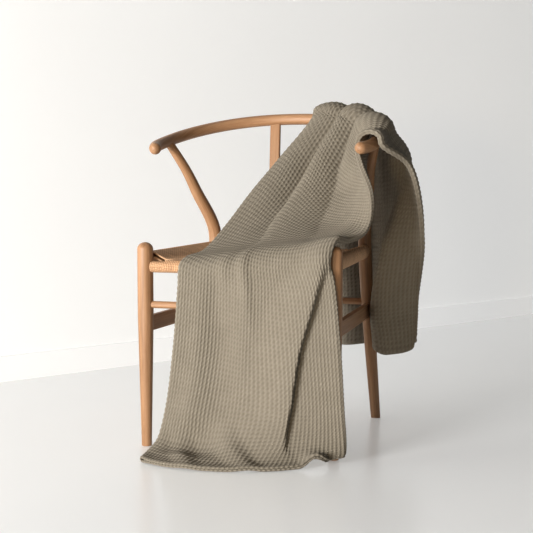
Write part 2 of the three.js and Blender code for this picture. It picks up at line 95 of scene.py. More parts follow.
class Place(Enum):
    """Sections along the cloth, in order from the front hem to the back hem."""

    FRONT_HEM = 0
    FLOOR = 1
    FLOOR_BEND = 2
    LOW_FALL = 3
    MID_FALL = 4
    HIGH_FALL = 5
    SEAT_NOSE = 6
    SEAT_BROW = 7
    SEAT = 8
    LOW_SLOPE = 9
    MID_SLOPE = 10
    HIGH_SLOPE = 11
    BOW_INSIDE = 12
    BOW_INNER_BROW = 13
    BOW_CREST = 14
    BOW_OUTER_BROW = 15
    BOW_OUTSIDE = 16
    BACK_SHOULDER = 17
    BACK_MIDDLE = 18
    BACK_LOW = 19
    BACK_HEM = 20


P = Place


class Profile(Enum):
    """How a fold rises across its width."""

    BELL = "bell"
    ARCH = "arch"


class FoldRow(NamedTuple):
    """One fold at one section: its distance from the folded edge, rise, widths and lean."""

    at: Place
    across: float
    rise: float
    left: float
    right: float
    lean: float = 0.0


class Fold(NamedTuple):
    """One fold along the cloth."""

    profile: Profile
    rows: list[FoldRow]


def folds(profile: Profile, table: Sequence[Sequence[tuple]]) -> tuple[Fold, ...]:
    """Folds of one profile, from a table with the values of their rows."""
    return tuple(Fold(profile, [FoldRow(*row) for row in rows]) for rows in table)


# Four places across the cloth at each section, from the folded edge.
FRONT_SECTIONS = (
    ((-172, -150, 13), (-40, -186, 12), (120, -146, 12), (258, -42, 18)),
    ((-176, -104, 15), (-38, -140, 13), (119, -116, 14), (260, -42, 32)),
    ((-164, -72, 38), (-35, -92, 38), (118, -82, 40), (258, -40, 56)),
    ((-152, -54, 100), (-25, -56, 104), (120, -54, 104), (252, -38, 110)),
    ((-138, -40, 240), (-15, -42, 240), (114, -42, 240), (243, -35, 240)),
    ((-129, -34, 370), (-10, -35, 370), (112, -35, 370), (229, -34, 376)),
    ((-127, -29, 420), (-9, -30, 422), (106, -31, 430), (219, -38, 442)),
    ((-121, -9, 435), (-4, -8, 443), (108, -9, 457), (227, -13, 492)),
    ((-101, 46, 446), (20, 56, 464), (130, 60, 476), (242, 44, 492)),
    ((-79, 138, 498), (48, 150, 506), (160, 138, 508), (263, 88, 510)),
    ((-50, 245, 576), (82, 245, 568), (190, 205, 570), (262, 110, 574)),
    ((-12, 360, 656), (112, 330, 652), (208, 255, 650), (241, 122, 636)),
)
# How far the cloth lies out of the bow's centre line and above it.
BOW_SECTIONS = ((-30, 2), (-21, 22), (0, 30), (22, 22), (30, 2))
BOW_TURNS = (10.5, 96.0)
GUIDES = 4
BACK_SECTIONS = (
    ((60, 508, 690), (170, 468, 672), (284, 380, 650), (340, 226, 640)),
    ((70, 530, 470), (172, 508, 470), (292, 425, 470), (358, 318, 462)),
    ((80, 545, 290), (172, 528, 290), (267, 470, 292), (319, 425, 294)),
    ((84, 550, 175), (170, 530, 177), (263, 478, 183), (315, 437, 175)),
)
PLEATS = (
    (
        (P.SEAT, 70, 0, 70, 70), (P.LOW_SLOPE, 68, 5, 68, 76),
        (P.MID_SLOPE, 62, 17, 62, 66), (P.HIGH_SLOPE, 62, 27, 62, 62),
        (P.BOW_CREST, 76, 17, 76, 52), (P.BACK_SHOULDER, 68, 12, 58, 60),
        (P.BACK_MIDDLE, 62, 0, 56, 54),
    ),
    (
        (P.HIGH_FALL, 268, 0, 60, 134), (P.SEAT, 245, 8, 66, 125, 6),
        (P.LOW_SLOPE, 210, 20, 66, 110, 8), (P.MID_SLOPE, 186, 32, 58, 92, 2),
        (P.HIGH_SLOPE, 182, 39, 58, 62, 0), (P.BOW_CREST, 184, 23, 56, 54, 0),
        (P.BACK_SHOULDER, 186, 16, 54, 54), (P.BACK_MIDDLE, 190, 0, 50, 60),
    ),
    (
        (P.MID_SLOPE, 340, 0, 64, 107), (P.HIGH_SLOPE, 310, 22, 66, 100, 2),
        (P.BOW_CREST, 308, 18, 70, 110, 2), (P.BACK_SHOULDER, 310, 16, 60, 90),
        (P.BACK_MIDDLE, 312, 0, 50, 90),
    ),
)
SOFT_FOLDS = (
    (
        (P.HIGH_FALL, 500, 0, 50, 60), (P.SEAT_NOSE, 500, -5, 50, 60),
        (P.SEAT_BROW, 500, -6, 50, 60), (P.SEAT, 500, -10, 50, 60),
        (P.LOW_SLOPE, 500, -12, 60, 60), (P.HIGH_SLOPE, 500, -1, 80, 60),
        (P.BOW_INSIDE, 500, 6, 80, 60), (P.BOW_CREST, 500, 8, 80, 60),
        (P.BOW_OUTSIDE, 500, 6, 80, 60), (P.BACK_SHOULDER, 500, 0, 80, 60),
    ),
    (
        (P.FLOOR, 330, 0, 107, 60), (P.FLOOR_BEND, 330, 12, 107, 30, -14),
        (P.LOW_FALL, 330, 19, 116, 26, -20), (P.MID_FALL, 362, 19, 125, 26, -20),
        (P.HIGH_FALL, 424, 18, 125, 34, -14), (P.SEAT_NOSE, 470, 12, 90, 50, -6),
        (P.SEAT_BROW, 480, 0, 80, 50),
    ),
    (
        (P.FLOOR, 152, 0, 98, 80), (P.LOW_FALL, 156, -13, 90, 90),
        (P.MID_FALL, 147, -15, 80, 80), (P.HIGH_FALL, 134, -8, 62, 62),
        (P.SEAT_NOSE, 125, 0, 54, 54),
    ),
    (
        (P.MID_FALL, 150, 0, 34, 28), (P.HIGH_FALL, 148, 3, 32, 28),
        (P.SEAT_NOSE, 147, 3, 34, 30), (P.SEAT_BROW, 146, 2, 36, 34),
        (P.SEAT, 140, 0, 34, 34),
    ),
    (
        (P.MID_FALL, 236, 0, 34, 28), (P.HIGH_FALL, 222, 6, 32, 28),
        (P.SEAT_NOSE, 212, 6, 34, 30), (P.SEAT_BROW, 208, 4, 36, 34),
        (P.SEAT, 204, 0, 34, 34),
    ),
    (
        (P.FRONT_HEM, 430, 24, 40, 40), (P.FLOOR, 420, 14, 40, 40),
        (P.FLOOR_BEND, 410, 0, 40, 40),
    ),
    (
        (P.FLOOR, 110, 0, 130, 140), (P.FLOOR_BEND, 110, -20, 130, 140),
        (P.LOW_FALL, 120, 12, 130, 140), (P.MID_FALL, 130, 0, 130, 140),
    ),
    (
        (P.FRONT_HEM, 150, 2, 44, 40), (P.FLOOR, 120, 7, 48, 44),
        (P.FLOOR_BEND, 84, 6, 50, 48), (P.LOW_FALL, 36, 0, 44, 44),
    ),
    (
        (P.FRONT_HEM, 290, 3, 46, 34), (P.FLOOR, 264, 8, 52, 40),
        (P.FLOOR_BEND, 218, 8, 56, 44), (P.LOW_FALL, 186, 0, 46, 44),
    ),
    (
        (P.BOW_OUTSIDE, 98, 0, 62, 62), (P.BACK_SHOULDER, 98, -10, 68, 62),
        (P.BACK_MIDDLE, 99, -29, 80, 68), (P.BACK_HEM, 100, -34, 86, 72),
    ),
    (
        (P.BOW_OUTSIDE, 205, 0, 54, 54), (P.BACK_MIDDLE, 183, 16, 54, 54),
        (P.BACK_HEM, 178, 24, 56, 56),
    ),
    (
        (P.BOW_OUTSIDE, 339, 0, 46, 46), (P.BACK_SHOULDER, 339, 14, 48, 48),
        (P.BACK_MIDDLE, 330, 14, 48, 48), (P.BACK_LOW, 321, 0, 46, 46),
    ),
    (
        (P.BACK_SHOULDER, 384, 0, 116, 98), (P.BACK_MIDDLE, 379, -76, 116, 126, -4),
        (P.BACK_LOW, 374, -110, 112, 128, -18), (P.BACK_HEM, 368, -110, 107, 128, -26),
    ),
)
MAIN_FOLDS = folds(Profile.ARCH, PLEATS) + folds(Profile.BELL, SOFT_FOLDS)
# Places on a rear post's centre line and its radius there.
POST_ROWS = np.array((
    (214, 454, 0, 12),
    (206, 427, 180, 15),
    (197, 399, 400, 16.5),
    (197, 391, 477, 16),
    (219, 326, 571, 14),
    (232, 286, 626, 12),
    (257, 234, 694, 10.5),
), float)


def frame_shift() -> Array:
    """Finds where the chair's own frame lies in the part's frame.

    Returns:
        The shift in metres, from the place of the left front leg.
    """
    low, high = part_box("front_leg_left")
    middle = (low + high) / 2
    return np.array((middle.x + FRONT_LEG_X * MM, middle.y, low.z))


SHIFT = frame_shift()


def placed(points: Array) -> Array:
    """Takes points in millimetres in the chair's frame to metres in the part's frame."""
    return np.asarray(points, float) * MM + SHIFT


def centripetal(points: Array, places: Array) -> Array:
    """Follows a smooth line through points.

    Args:
        points: The points to pass through, one row each.
        places: Where to read the line, counted in points from the first.

    Returns:
        One point for each place.
    """
    count = len(points)
    index = np.minimum(np.clip(places, 0, count - 1).astype(int), count - 2)
    w = (np.clip(places, 0, count - 1) - index)[:, None]
    ends = np.concatenate([[2 * points[0] - points[1]], points, [2 * points[-1] - points[-2]]])
    p0, p1, p2, p3 = (ends[index + k] for k in range(4))

    def gap(a: Array, b: Array) -> Array:
        """Square root of the distance between points."""
        return np.maximum(np.sum((a - b) ** 2, -1, keepdims=True) ** 0.25, 1e-4)

    d0, d1, d2 = gap(p0, p1), gap(p1, p2), gap(p2, p3)
    leave = ((p1 - p0) / d0 - (p2 - p0) / (d0 + d1) + (p2 - p1) / d1) * d1
    reach = ((p2 - p1) / d1 - (p3 - p1) / (d1 + d2) + (p3 - p2) / d2) * d1
    square = -3 * p1 + 3 * p2 - 2 * leave - reach
    cube = 2 * p1 - 2 * p2 + leave + reach
    return p1 + leave * w + square * w**2 + cube * w**3


def unit(vectors: Array) -> Array:
    """Scales vectors to length one."""
    return vectors / np.maximum(np.linalg.norm(vectors, axis=-1, keepdims=True), 1e-9)


def bell(distance: Array, width: Array) -> Array:
    """A smooth hump of height one that ends at the given width."""
    return (1 + np.cos(np.pi * np.minimum(np.abs(distance) / width, 1))) / 2


def arch(distance: Array, width: Array) -> Array:
    """A round hump of height one that meets its neighbours in a crease."""
    return 1 - np.minimum(np.abs(distance) / width, 1) ** 2


def run_lengths(line: Array) -> Array:
    """Length along a line from its start to each of its points."""
    return np.concatenate([[0], np.cumsum(np.linalg.norm(np.diff(line, axis=0), axis=1))])


@dataclass(frozen=True)
class BowLine:
    """The centre line of the bow rail."""

    half_width: float = 262.0
    side_y: float = 185.0
    back_y: float = 470.0
    arm_end: Triple = (247.0, 127.0, 677.0)
    back_height: float = 754.0
    roundness: float = 2.14
    climb: float = 1.2
    arm_turn: float = 12.0

    def points(self, turns: Array) -> Array:
        """Places on the line.

        Args:
            turns: Degrees from the middle of the back, 90 at the side, more along the arm.

        Returns:
            One point in millimetres for each turn.
        """
        size = np.abs(turns)
        angle = np.radians(np.minimum(size, 90))
        arm = np.clip((size - 90) / self.arm_turn, 0, 1)
        power = 2 / self.roundness
        end_x, end_y, end_z = self.arm_end
        x = self.half_width * np.sin(angle) ** power + (end_x - self.half_width) * arm**2
        cosine = np.maximum(np.cos(angle), 0) ** power
        y = self.side_y + (self.back_y - self.side_y) * cosine + (end_y - self.side_y) * arm
        climbed = np.maximum((y - end_y) / (self.back_y - end_y), 0)
        z = end_z + (self.back_height - end_z) * climbed**self.climb
        return np.stack([np.sign(turns) * x, y, z], -1)

    def outward(self, turns: Array) -> Array:
        """Level directions out of the bow, one for each turn."""
        along = self.points(turns + 0.5) - self.points(turns - 0.5)
        return unit(np.stack([-along[:, 1], along[:, 0], np.zeros(len(along))], -1))


@dataclass
class ClothForm:
    """The outer face of the folded cloth, by share of its width and station along it."""

    width: float = 500.0
    fine_steps: int = 3000
    bow: BowLine = field(default_factory=BowLine)
    folds: Sequence[Fold] = MAIN_FOLDS
    sections: Array = field(init=False)

    def __post_init__(self) -> None:
        """Lays the sections of all three parts of the cloth end to end."""
        turns = np.linspace(*BOW_TURNS, GUIDES)
        line, out = self.bow.points(turns), self.bow.outward(turns)
        over = [line + out * aside + np.array((0, 0, up)) for aside, up in BOW_SECTIONS]
        self.sections = np.concatenate([FRONT_SECTIONS, over, BACK_SECTIONS]).astype(float)

    @property
    def last(self) -> int:
        """The station of the back hem."""
        return len(self.sections) - 1

    def plain(self, shares: Array, stations: Array) -> Array:
        """The cloth without its folds.

        Args:
            shares: Shares of the width.
            stations: Stations along the cloth, in rows with one column or one for each share.

        Returns:
            Points in millimetres, by row and share.
        """
        places = shares * (GUIDES - 1)
        points = 0
        for k in range(GUIDES):
            guide = centripetal(self.sections[:, k], stations.ravel()).reshape(*stations.shape, 3)
            others = [j for j in range(GUIDES) if j != k]
            weight = np.prod([(places - j) / (k - j) for j in others], axis=0)
            points = points + weight[:, None] * guide
        return points

    def axes(
        self,
        surface: Callable[[Array, Array], Array],
        shares: Array,
        stations: Array,
        reach: float = 0.002,
        step: float = 0.002,
    ) -> tuple[Array, Array]:
        """Directions across a surface and out of it.

        Args:
            surface: A function of shares and stations.
            shares: Shares of the width.
            stations: Stations along the cloth.
            reach: How far to each side the slope across is read.
            step: How far each way the slope along is read.

        Returns:
            Unit vectors across and out, on the grid of the surface.
        """
        right = surface(np.minimum(shares + reach, 1), stations)
        across = unit(right - surface(np.maximum(shares - reach, 0), stations))
        ahead = surface(shares, np.minimum(stations + step, self.last))
        along = unit(ahead - surface(shares, np.maximum(stations - step, 0)))
        return across, unit(np.cross(across, along))

    @staticmethod
    def fold_value(rows: Sequence[FoldRow], column: int, stations: Array) -> Array:
        """One value of a fold along the cloth, on a smooth line through its rows.

        Args:
            rows: The fold's rows.
            column: Which value of the rows to read.
            stations: Stations along the cloth.

        Returns:
            The value at each station.
        """
        places = np.array([row.at.value for row in rows], float)
        values = np.array([row[column] for row in rows], float)
        slopes = np.zeros(len(rows))
        if len(rows) > 2:
            slopes[1:-1] = (values[2:] - values[:-2]) / (places[2:] - places[:-2])
        at = np.clip(stations, places[0], places[-1])
        i = np.clip(np.searchsorted(places, at) - 1, 0, len(rows) - 2)
        span = places[i + 1] - places[i]
        w = (at - places[i]) / span
        rise = w * w * (3 - 2 * w)
        ends = w * (1 - w) ** 2 * span * slopes[i] + w * w * (w - 1) * span * slopes[i + 1]
        return values[i] + (values[i + 1] - values[i]) * rise + ends

    def folded(self, shares: Array, stations: Array) -> Array:
        """The cloth with its folds.

        Args:
            shares: Shares of the width.
            stations: Stations along the cloth, in rows with one column or one for each share.

        Returns:
            Points in millimetres, by row and share.
        """
        points = self.plain(shares, stations)
        across, out = self.axes(self.plain, shares, stations)
        for profile, rows in self.folds:
            middle, rise, left, right, lean = (
                self.fold_value(rows, column, stations)
                for column in range(1, len(FoldRow._fields))
            )
            distance = shares[None, :] * self.width - middle
            shape = bell if profile is Profile.BELL else arch
            height = shape(distance, np.where(distance < 0, left, right))
            points = points + out * (height * rise)[..., None]
            points = points - across * (height * lean)[..., None]
        return points

    def even_stations(self, count: int) -> Array:
        """Stations at even steps of length along the middle of the cloth.

        Args:
            count: Number of stations.

        Returns:
            The stations, from hem to hem.
        """
        fine = np.linspace(0, self.last, self.fine_steps)
        length = run_lengths(self.plain(np.array([0.5]), fine[:, None])[:, 0])
        return np.interp(np.linspace(0, length[-1], count), length, fine)


def deselect_all() -> None:
    """Clears the selection."""
    bpy.ops.object.select_all(action="DESELECT")


def edit_all() -> None:
    """Goes into edit mode on the active piece with all of it selected."""
    bpy.ops.object.mode_set(mode="EDIT")
    bpy.ops.mesh.select_all(action="SELECT")


def pick(piece: Piece, test: Callable[[Vector], bool]) -> None:
    """Selects the vertices of a piece that pass a test and goes into edit mode.

    Args:
        piece: The active object.
        test: Says whether a vertex at a place is picked.
    """
    bpy.ops.object.mode_set(mode="EDIT")
    bpy.ops.mesh.select_mode(type="VERT")
    bpy.ops.mesh.select_all(action="DESELECT")
    bpy.ops.object.mode_set(mode="OBJECT")
    for vertex in piece.data.vertices:
        vertex.select = bool(test(vertex.co))
    bpy.ops.object.mode_set(mode="EDIT")


def settle(name: str, smooth_angle: float = 40.0) -> Piece:
    """Leaves edit mode, puts the place of the active piece into its mesh and smooths it.

    Args:
        name: The piece's name.
        smooth_angle: Edges flatter than this many degrees are shaded smooth.

    Returns:
        The piece.
    """
    bpy.ops.object.mode_set(mode="OBJECT")
    bpy.ops.object.transform_apply()
    bpy.ops.object.shade_smooth_by_angle(angle=math.radians(smooth_angle))
    piece = bpy.context.object
    piece.name = name
    piece.data.name = name
    return piece


def mesh_piece(name: str, points: Array, faces: list[tuple[int, ...]], uv: Array) -> Piece:
    """Makes a smooth piece from points in the part's frame.

    Args:
        name: The piece's name.
        points: Its vertices, in metres.
        faces: Vertex numbers of each face.
        uv: A map place for each vertex.

    Returns:
        The new object.
    """
    mesh = bpy.data.meshes.new(name)
    mesh.from_pydata(points.tolist(), [], faces)
    mesh.polygons.foreach_set("use_smooth", np.ones(len(mesh.polygons), bool))
    corners = np.zeros(len(mesh.loops), np.int32)
    mesh.loops.foreach_get("vertex_index", corners)
    layer = mesh.uv_layers.new(name="UVMap")
    layer.data.foreach_set("uv", uv[corners].astype(np.float32).ravel())
    mesh.update()
    piece = bpy.data.objects.new(name, mesh)
    bpy.context.scene.collection.objects.link(piece)
    return piece


def set_grain(piece: Piece, path: Array) -> None:
    """Writes how the wood's grain runs: two places across it and one along it.

    Args:
        piece: A wooden piece.
        path: Points along its middle, in the part's frame, in metres.
    """
    length = run_lengths(path)
    fine = np.linspace(0, length[-1], GRAIN_STEPS)
    line = np.stack([np.interp(fine, length, path[:, k]) for k in range(3)], -1)
    forward = unit(np.gradient(line, axis=0))
    aside = unit(np.cross(forward, GRAIN_ASIDE))
    up = np.cross(forward, aside)
    tree = KDTree(len(line))
    for number, point in enumerate(line):
        tree.insert(point, number)
    tree.balance()
    places = np.zeros(len(piece.data.vertices) * 3)
    piece.data.vertices.foreach_get("co", places)
    places = places.reshape(-1, 3)
    near = np.array([tree.find(point)[1] for point in places])
    off = places - line[near]
    grain = np.stack([np.sum(off * axis[near], -1) for axis in (aside, up, forward)], -1)
    grain[:, 2] += fine[near]
    grain += GRAIN_SHIFT * (sum(map(ord, piece.name)) % GRAIN_SHIFTS)
    attribute = piece.data.attributes.new("grain", "FLOAT_VECTOR", "POINT")
    attribute.data.foreach_set("vector", grain.astype(np.float32).ravel())


class Layer(NamedTuple):
    """A noise that tints a colour: how it is stretched, its detail, its share and its tones."""

    stretch: Triple
    detail: float
    rough: float = 0.55
    share: float = 1.0
    tones: Stops = ()


class Nodes:
    """A material's node tree, with short calls to add and join nodes."""

    def __init__(self, name: str) -> None:
        """Starts a material with one surface shader."""
        self.material = bpy.data.materials.new(name)
        self.material.use_nodes = True
        self.tree = self.material.node_tree
        self.shader = self.tree.nodes["Principled BSDF"]

    def fill(self, node: bpy.types.Node, inputs: dict) -> None:
        """Joins sockets to a node's inputs and sets its other inputs to their values.

        Args:
            node: The node.
            inputs: Sockets or values, by the name or number of the input.
        """
        for key, value in inputs.items():
            if isinstance(value, Socket):
                self.tree.links.new(value, node.inputs[key])
            else:
                node.inputs[key].default_value = value

    def add(self, kind: str, inputs: dict, output: str | int, **own: object) -> Socket:
        """Adds a node.

        Args:
            kind: The node's type, without its prefix.
            inputs: Sockets or values, by the name or number of the input.
            output: The name or number of the output to read.
            own: The node's own properties.

        Returns:
            The socket of the output.
        """
        node = self.tree.nodes.new("ShaderNode" + kind)
        for key, value in own.items():
            setattr(node, key, value)
        self.fill(node, inputs)
        return node.outputs[output]

    def stretch(self, where: Socket, scale: Triple) -> Socket:
        """Scales a pattern's place."""
        return self.add("Mapping", {"Vector": where, "Scale": scale}, "Vector")

    def noise(self, where: Socket, layer: Layer) -> Socket:
        """The value of a layer's noise.

        Args:
            where: The place that it follows.
            layer: The layer.

        Returns:
            The socket of the value.
        """
        inputs = {"Vector": self.stretch(where, layer.stretch), "Scale": 1.0}
        inputs |= {"Detail": layer.detail, "Roughness": layer.rough}
        return self.add("TexNoise", inputs, "Fac")

    def ramp(self, value: Socket, stops: Stops) -> Socket:
        """The colour of a value on a ramp.

        Args:
            value: A value from 0 to 1.
            stops: Places on the ramp, in order, and their colours.

        Returns:
            The socket of the colour.
        """
        node = self.tree.nodes.new("ShaderNodeValToRGB")
        self.fill(node, {"Fac": value})
        elements = node.color_ramp.elements
        while len(elements) < len(stops):
            elements.new(0.5)
        for element, (place, colour) in zip(elements, stops):
            element.position = place
            element.color = (*colour, 1.0)
        return node.outputs["Color"]

    def tinted(self, colour: Socket, *tints: tuple[Socket, Layer]) -> Socket:
        """Multiplies a colour by the tones of layers, each to its share.

        Args:
            colour: The colour to start from.
            tints: A value and its layer, for each tint.

        Returns:
            The socket of the colour.
        """
        for value, layer in tints:
            inputs = {0: layer.share, 6: colour, 7: self.ramp(value, layer.tones)}
            colour = self.add("Mix", inputs, 2, data_type="RGBA", blend_type="MULTIPLY")
        return colour

    def span(
        self, value: Socket, low: float, high: float, start: float = 0.0, end: float = 1.0
    ) -> Socket:
        """Maps a value from the span of start and end to that of low and high."""
        inputs = {"Value": value, "From Min": start, "From Max": end, "To Min": low, "To Max": high}
        return self.add("MapRange", inputs, "Result")

    def calculate(self, operation: str, *values: Socket | float) -> Socket:
        """The result of a calculation."""
        return self.add("Math", dict(enumerate(values)), 0, operation=operation)

    def wave(self, value: Socket, count: int = 1) -> Socket:
        """A wave from -1 to 1 that runs the given count of times while a value grows by one."""
        return self.calculate("COSINE", self.calculate("MULTIPLY", value, 2 * math.pi * count))

    def weighed(self, waves: Sequence[Socket], weights: Sequence[float]) -> Socket:
        """The sum of waves that run from -1 to 1.

        Args:
            waves: Their sockets.
            weights: The weight of each.

        Returns:
            The socket of the sum.
        """
        first, *others = (self.span(wave, -w, w, -1.0) for wave, w in zip(waves, weights))
        for other in others:
            first = self.calculate("ADD", first, other)
        return first

    def bumps(self, *layers: tuple[Socket, Pair]) -> Socket:
        """The normal after bumps.

        Args:
            layers: The height of each bump, and its strength and depth.

        Returns:
            The socket of the normal.
        """
        inputs = {}
        for height, (strength, depth) in layers:
            inputs |= {"Height": height, "Strength": strength, "Distance": depth}
            inputs["Normal"] = self.add("Bump", inputs, "Normal")
        return inputs["Normal"]

    def surface(self, **values: Socket | float | tuple) -> Paint:
        """Fills the surface shader's inputs, named with underscores, and returns the material."""
        self.fill(self.shader, {key.replace("_", " "): value for key, value in values.items()})
        return self.material


@dataclass(frozen=True)
class WoodFinish:
    """Oiled oak with long grain lines and short pores."""

    bands: Layer = Layer((95, 95, 3.2), 4.0, 0.6, tones=(
        (0.32, (0.425, 0.240, 0.126)),
        (0.5, (0.355, 0.195, 0.098)),
        (0.72, (0.250, 0.130, 0.060)),
    ))
    lines: Layer = Layer(
        (420, 420, 9), 3.0, 0.6, 0.55, ((0.35, WHITE), (0.7, (0.70, 0.62, 0.55)))
    )
    pores: Layer = Layer(
        (1500, 1500, 60), 2.0, 0.5, 0.5, ((0.3, (0.72, 0.66, 0.6)), (0.45, WHITE))
    )
    broad: Layer = Layer(
        (22, 22, 1.4), 2.0, 0.5, 0.7, ((0.3, (0.86, 0.84, 0.82)), (0.7, (1.08, 1.06, 1.04)))
    )
    roughness: Pair = (0.40, 0.58)
    specular: float = 0.35
    pore_bump: Pair = (0.12, 0.0006)  # strength and depth
    line_bump: Pair = (0.10, 0.0008)

    def make(self) -> Paint:
        """Builds the material, which follows each piece's grain attribute."""
        nodes = Nodes("oiled_oak")
        grain = nodes.add("Attribute", {}, "Vector", attribute_name="grain")
        lines, pores = nodes.noise(grain, self.lines), nodes.noise(grain, self.pores)
        tone = nodes.ramp(nodes.noise(grain, self.bands), self.bands.tones)
        broad = nodes.noise(grain, self.broad)
        return nodes.surface(
            Base_Color=nodes.tinted(
                tone, (lines, self.lines), (pores, self.pores), (broad, self.broad)
            ),
            Roughness=nodes.span(lines, *self.roughness),
            Normal=nodes.bumps((pores, self.pore_bump), (lines, self.line_bump)),
            Specular_IOR_Level=self.specular,
        )


@dataclass(frozen=True)
class CordFinish:
    """Twisted paper cord, with shade painted into the grooves of its twist."""

    # Painted shade: darker where the twist's bump is low, in its grooves.
    twist_tones: Stops = ((0.1, (0.500, 0.302, 0.170)), (0.65, (0.640, 0.400, 0.236)))
    twist_pitch: float = 0.0042
    twist_scale: float = 0.5
    twist_waver: float = 0.6
    twist_bump: Pair = (0.35, 0.0008)  # strength and depth
    strand: Layer = Layer(
        (60, 60, 60), 3.0, share=0.8, tones=((0.3, (0.78, 0.76, 0.74)), (0.7, (1.1, 1.08, 1.05)))
    )
    fibre: Layer = Layer(
        (900, 900, 900), 2.0, share=0.6, tones=((0.3, (0.82, 0.8, 0.78)), (0.7, (1.1, 1.1, 1.1)))
    )
    fibre_bump: Pair = (0.15, 0.0004)
    roughness: float = 0.72
    specular: float = 0.25

    def make(self) -> Paint:
        """Builds the material, which winds its twist along each strand's map."""
        nodes = Nodes("paper_cord")
        where = nodes.add("UVMap", {}, "UV", uv_map="UVMap")
        place = nodes.add("TexCoord", {}, "Object")
        inputs = {"Vector": nodes.stretch(where, (1.0, 1.0 / self.twist_pitch, 1.0))}
        inputs |= {"Scale": self.twist_scale, "Distortion": self.twist_waver}
        twist = nodes.add("TexWave", inputs, "Fac", bands_direction="DIAGONAL")
        strand, fibre = nodes.noise(place, self.strand), nodes.noise(place, self.fibre)
        # Painted shade in the twist's grooves.
        tone = nodes.ramp(twist, self.twist_tones)
        return nodes.surface(
            Base_Color=nodes.tinted(tone, (strand, self.strand), (fibre, self.fibre)),
            Normal=nodes.bumps((twist, self.twist_bump), (fibre, self.fibre_bump)),
            Roughness=self.roughness,
            Specular_IOR_Level=self.specular,
        )


@dataclass(frozen=True)
class KnitFinish:
    """Soft cotton yarn, with shade painted into the pits of the waffle."""

    # Painted shade: the colour darkens from the bead tops into the pits of each cell.
    cell_tones: Stops = (
        (0.0, (0.163, 0.140, 0.107)),
        (0.6, (0.181, 0.157, 0.121)),
        (1.0, (0.200, 0.174, 0.135)),
    )
    cell_weights: Triple = (0.7, 0.2, 0.35)  # of the ribs, the rows and the slant
    cell_span: Pair = (-0.75, 1.3)
    bead_weights: Triple = (-0.5, -0.45, 0.35)
    yarns: int = 3
    # Painted shade: darker where the relief sinks into the pits.
    hollow: Layer = Layer((1, 1, 1), 0.0, tones=((0.0, (0.86, 0.85, 0.84)), (0.6, WHITE)))
    cloud: Layer = Layer(
        (26, 26, 26), 3.0, tones=((0.3, (0.95, 0.95, 0.94)), (0.7, (1.04, 1.04, 1.04)))
    )
    fibre: Layer = Layer(
        (1300, 1300, 1300), 2.0, share=0.6,
        tones=((0.3, (0.88, 0.87, 0.86)), (0.7, (1.07, 1.07, 1.07))),
    )
    bead_bump: Pair = (1.0, 0.0008)  # strength and depth
    yarn_bump: Pair = (0.12, 0.0004)
    fibre_bump: Pair = (0.25, 0.0005)
    roughness: float = 0.94
    specular: float = 0.12
    sheen: Pair = (0.08, 0.6)  # weight and roughness
    sheen_tint: Triple = (0.8, 0.72, 0.6)

    def make(self) -> Paint:
        """Builds the material, which follows the cloth's relief and its map of cells and paints
        shade into the pits from both.
        """
        nodes = Nodes("waffle_knit")
        where = nodes.add("UVMap", {}, "UV", uv_map="UVMap")
        place = nodes.add("TexCoord", {}, "Object")
        relief = nodes.add("Attribute", {}, "Fac", attribute_name="relief")
        across, along = (nodes.add("SeparateXYZ", {"Vector": where}, axis) for axis in "XY")
        slant = nodes.calculate("ADD", across, along)
        waves = [nodes.wave(value) for value in (across, along, slant)]
        height = nodes.span(nodes.weighed(waves, self.cell_weights), 1.0, 0.0, *self.cell_span)
        beads = nodes.weighed(waves, self.bead_weights)
        yarn = nodes.wave(along, self.yarns)
        cloud, fibre = nodes.noise(place, self.cloud), nodes.noise(place, self.fibre)
        # Painted shade in the pits, from the map of cells.
        tone = nodes.ramp(height, self.cell_tones)
        sheen, sheen_roughness = self.sheen
        return nodes.surface(
            # The colour carries painted shade from the relief and the cells, and random cloud and
            # fibre tones.
            Base_Color=nodes.tinted(
                tone, (relief, self.hollow), (cloud, self.cloud), (fibre, self.fibre)
            ),
            Normal=nodes.bumps(
                (beads, self.bead_bump), (yarn, self.yarn_bump), (fibre, self.fibre_bump)
            ),
            Roughness=self.roughness,
            Specular_IOR_Level=self.specular,
            Sheen_Weight=sheen,
            Sheen_Roughness=sheen_roughness,
            Sheen_Tint=(*self.sheen_tint, 1.0),
        )


def dress(piece: Piece, material: Paint, slot: Slot) -> Piece:
    """Gives a piece its material and lets it ride on the part.

    Args:
        piece: The finished piece.
        material: Its material.
        slot: Not used.

    Returns:
        The piece.
    """
    piece.data.materials.clear()
    piece.data.materials.append(material)
    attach(piece, "root")
    LOG.info("%s: %d faces", piece.name, len(piece.data.polygons))
    return piece


def block_border(top: int, left: int, rows: int, columns: int) -> list[Cell]:
    """Places once round a block of a grid.

    Args:
        top: The block's first row.
        left: Its first column.
        rows: Steps to its last row.
        columns: Steps to its last column.

    Returns:
        Rows and columns, from the first corner along the first row and round.
    """
    bottom, right = top + rows, left + columns
    border = [(top, k) for k in range(left, right)]
    border += [(r, right) for r in range(top, bottom)]
    border += [(bottom, k) for k in range(right, left, -1)]
    return border + [(r, left) for r in range(bottom, top, -1)]


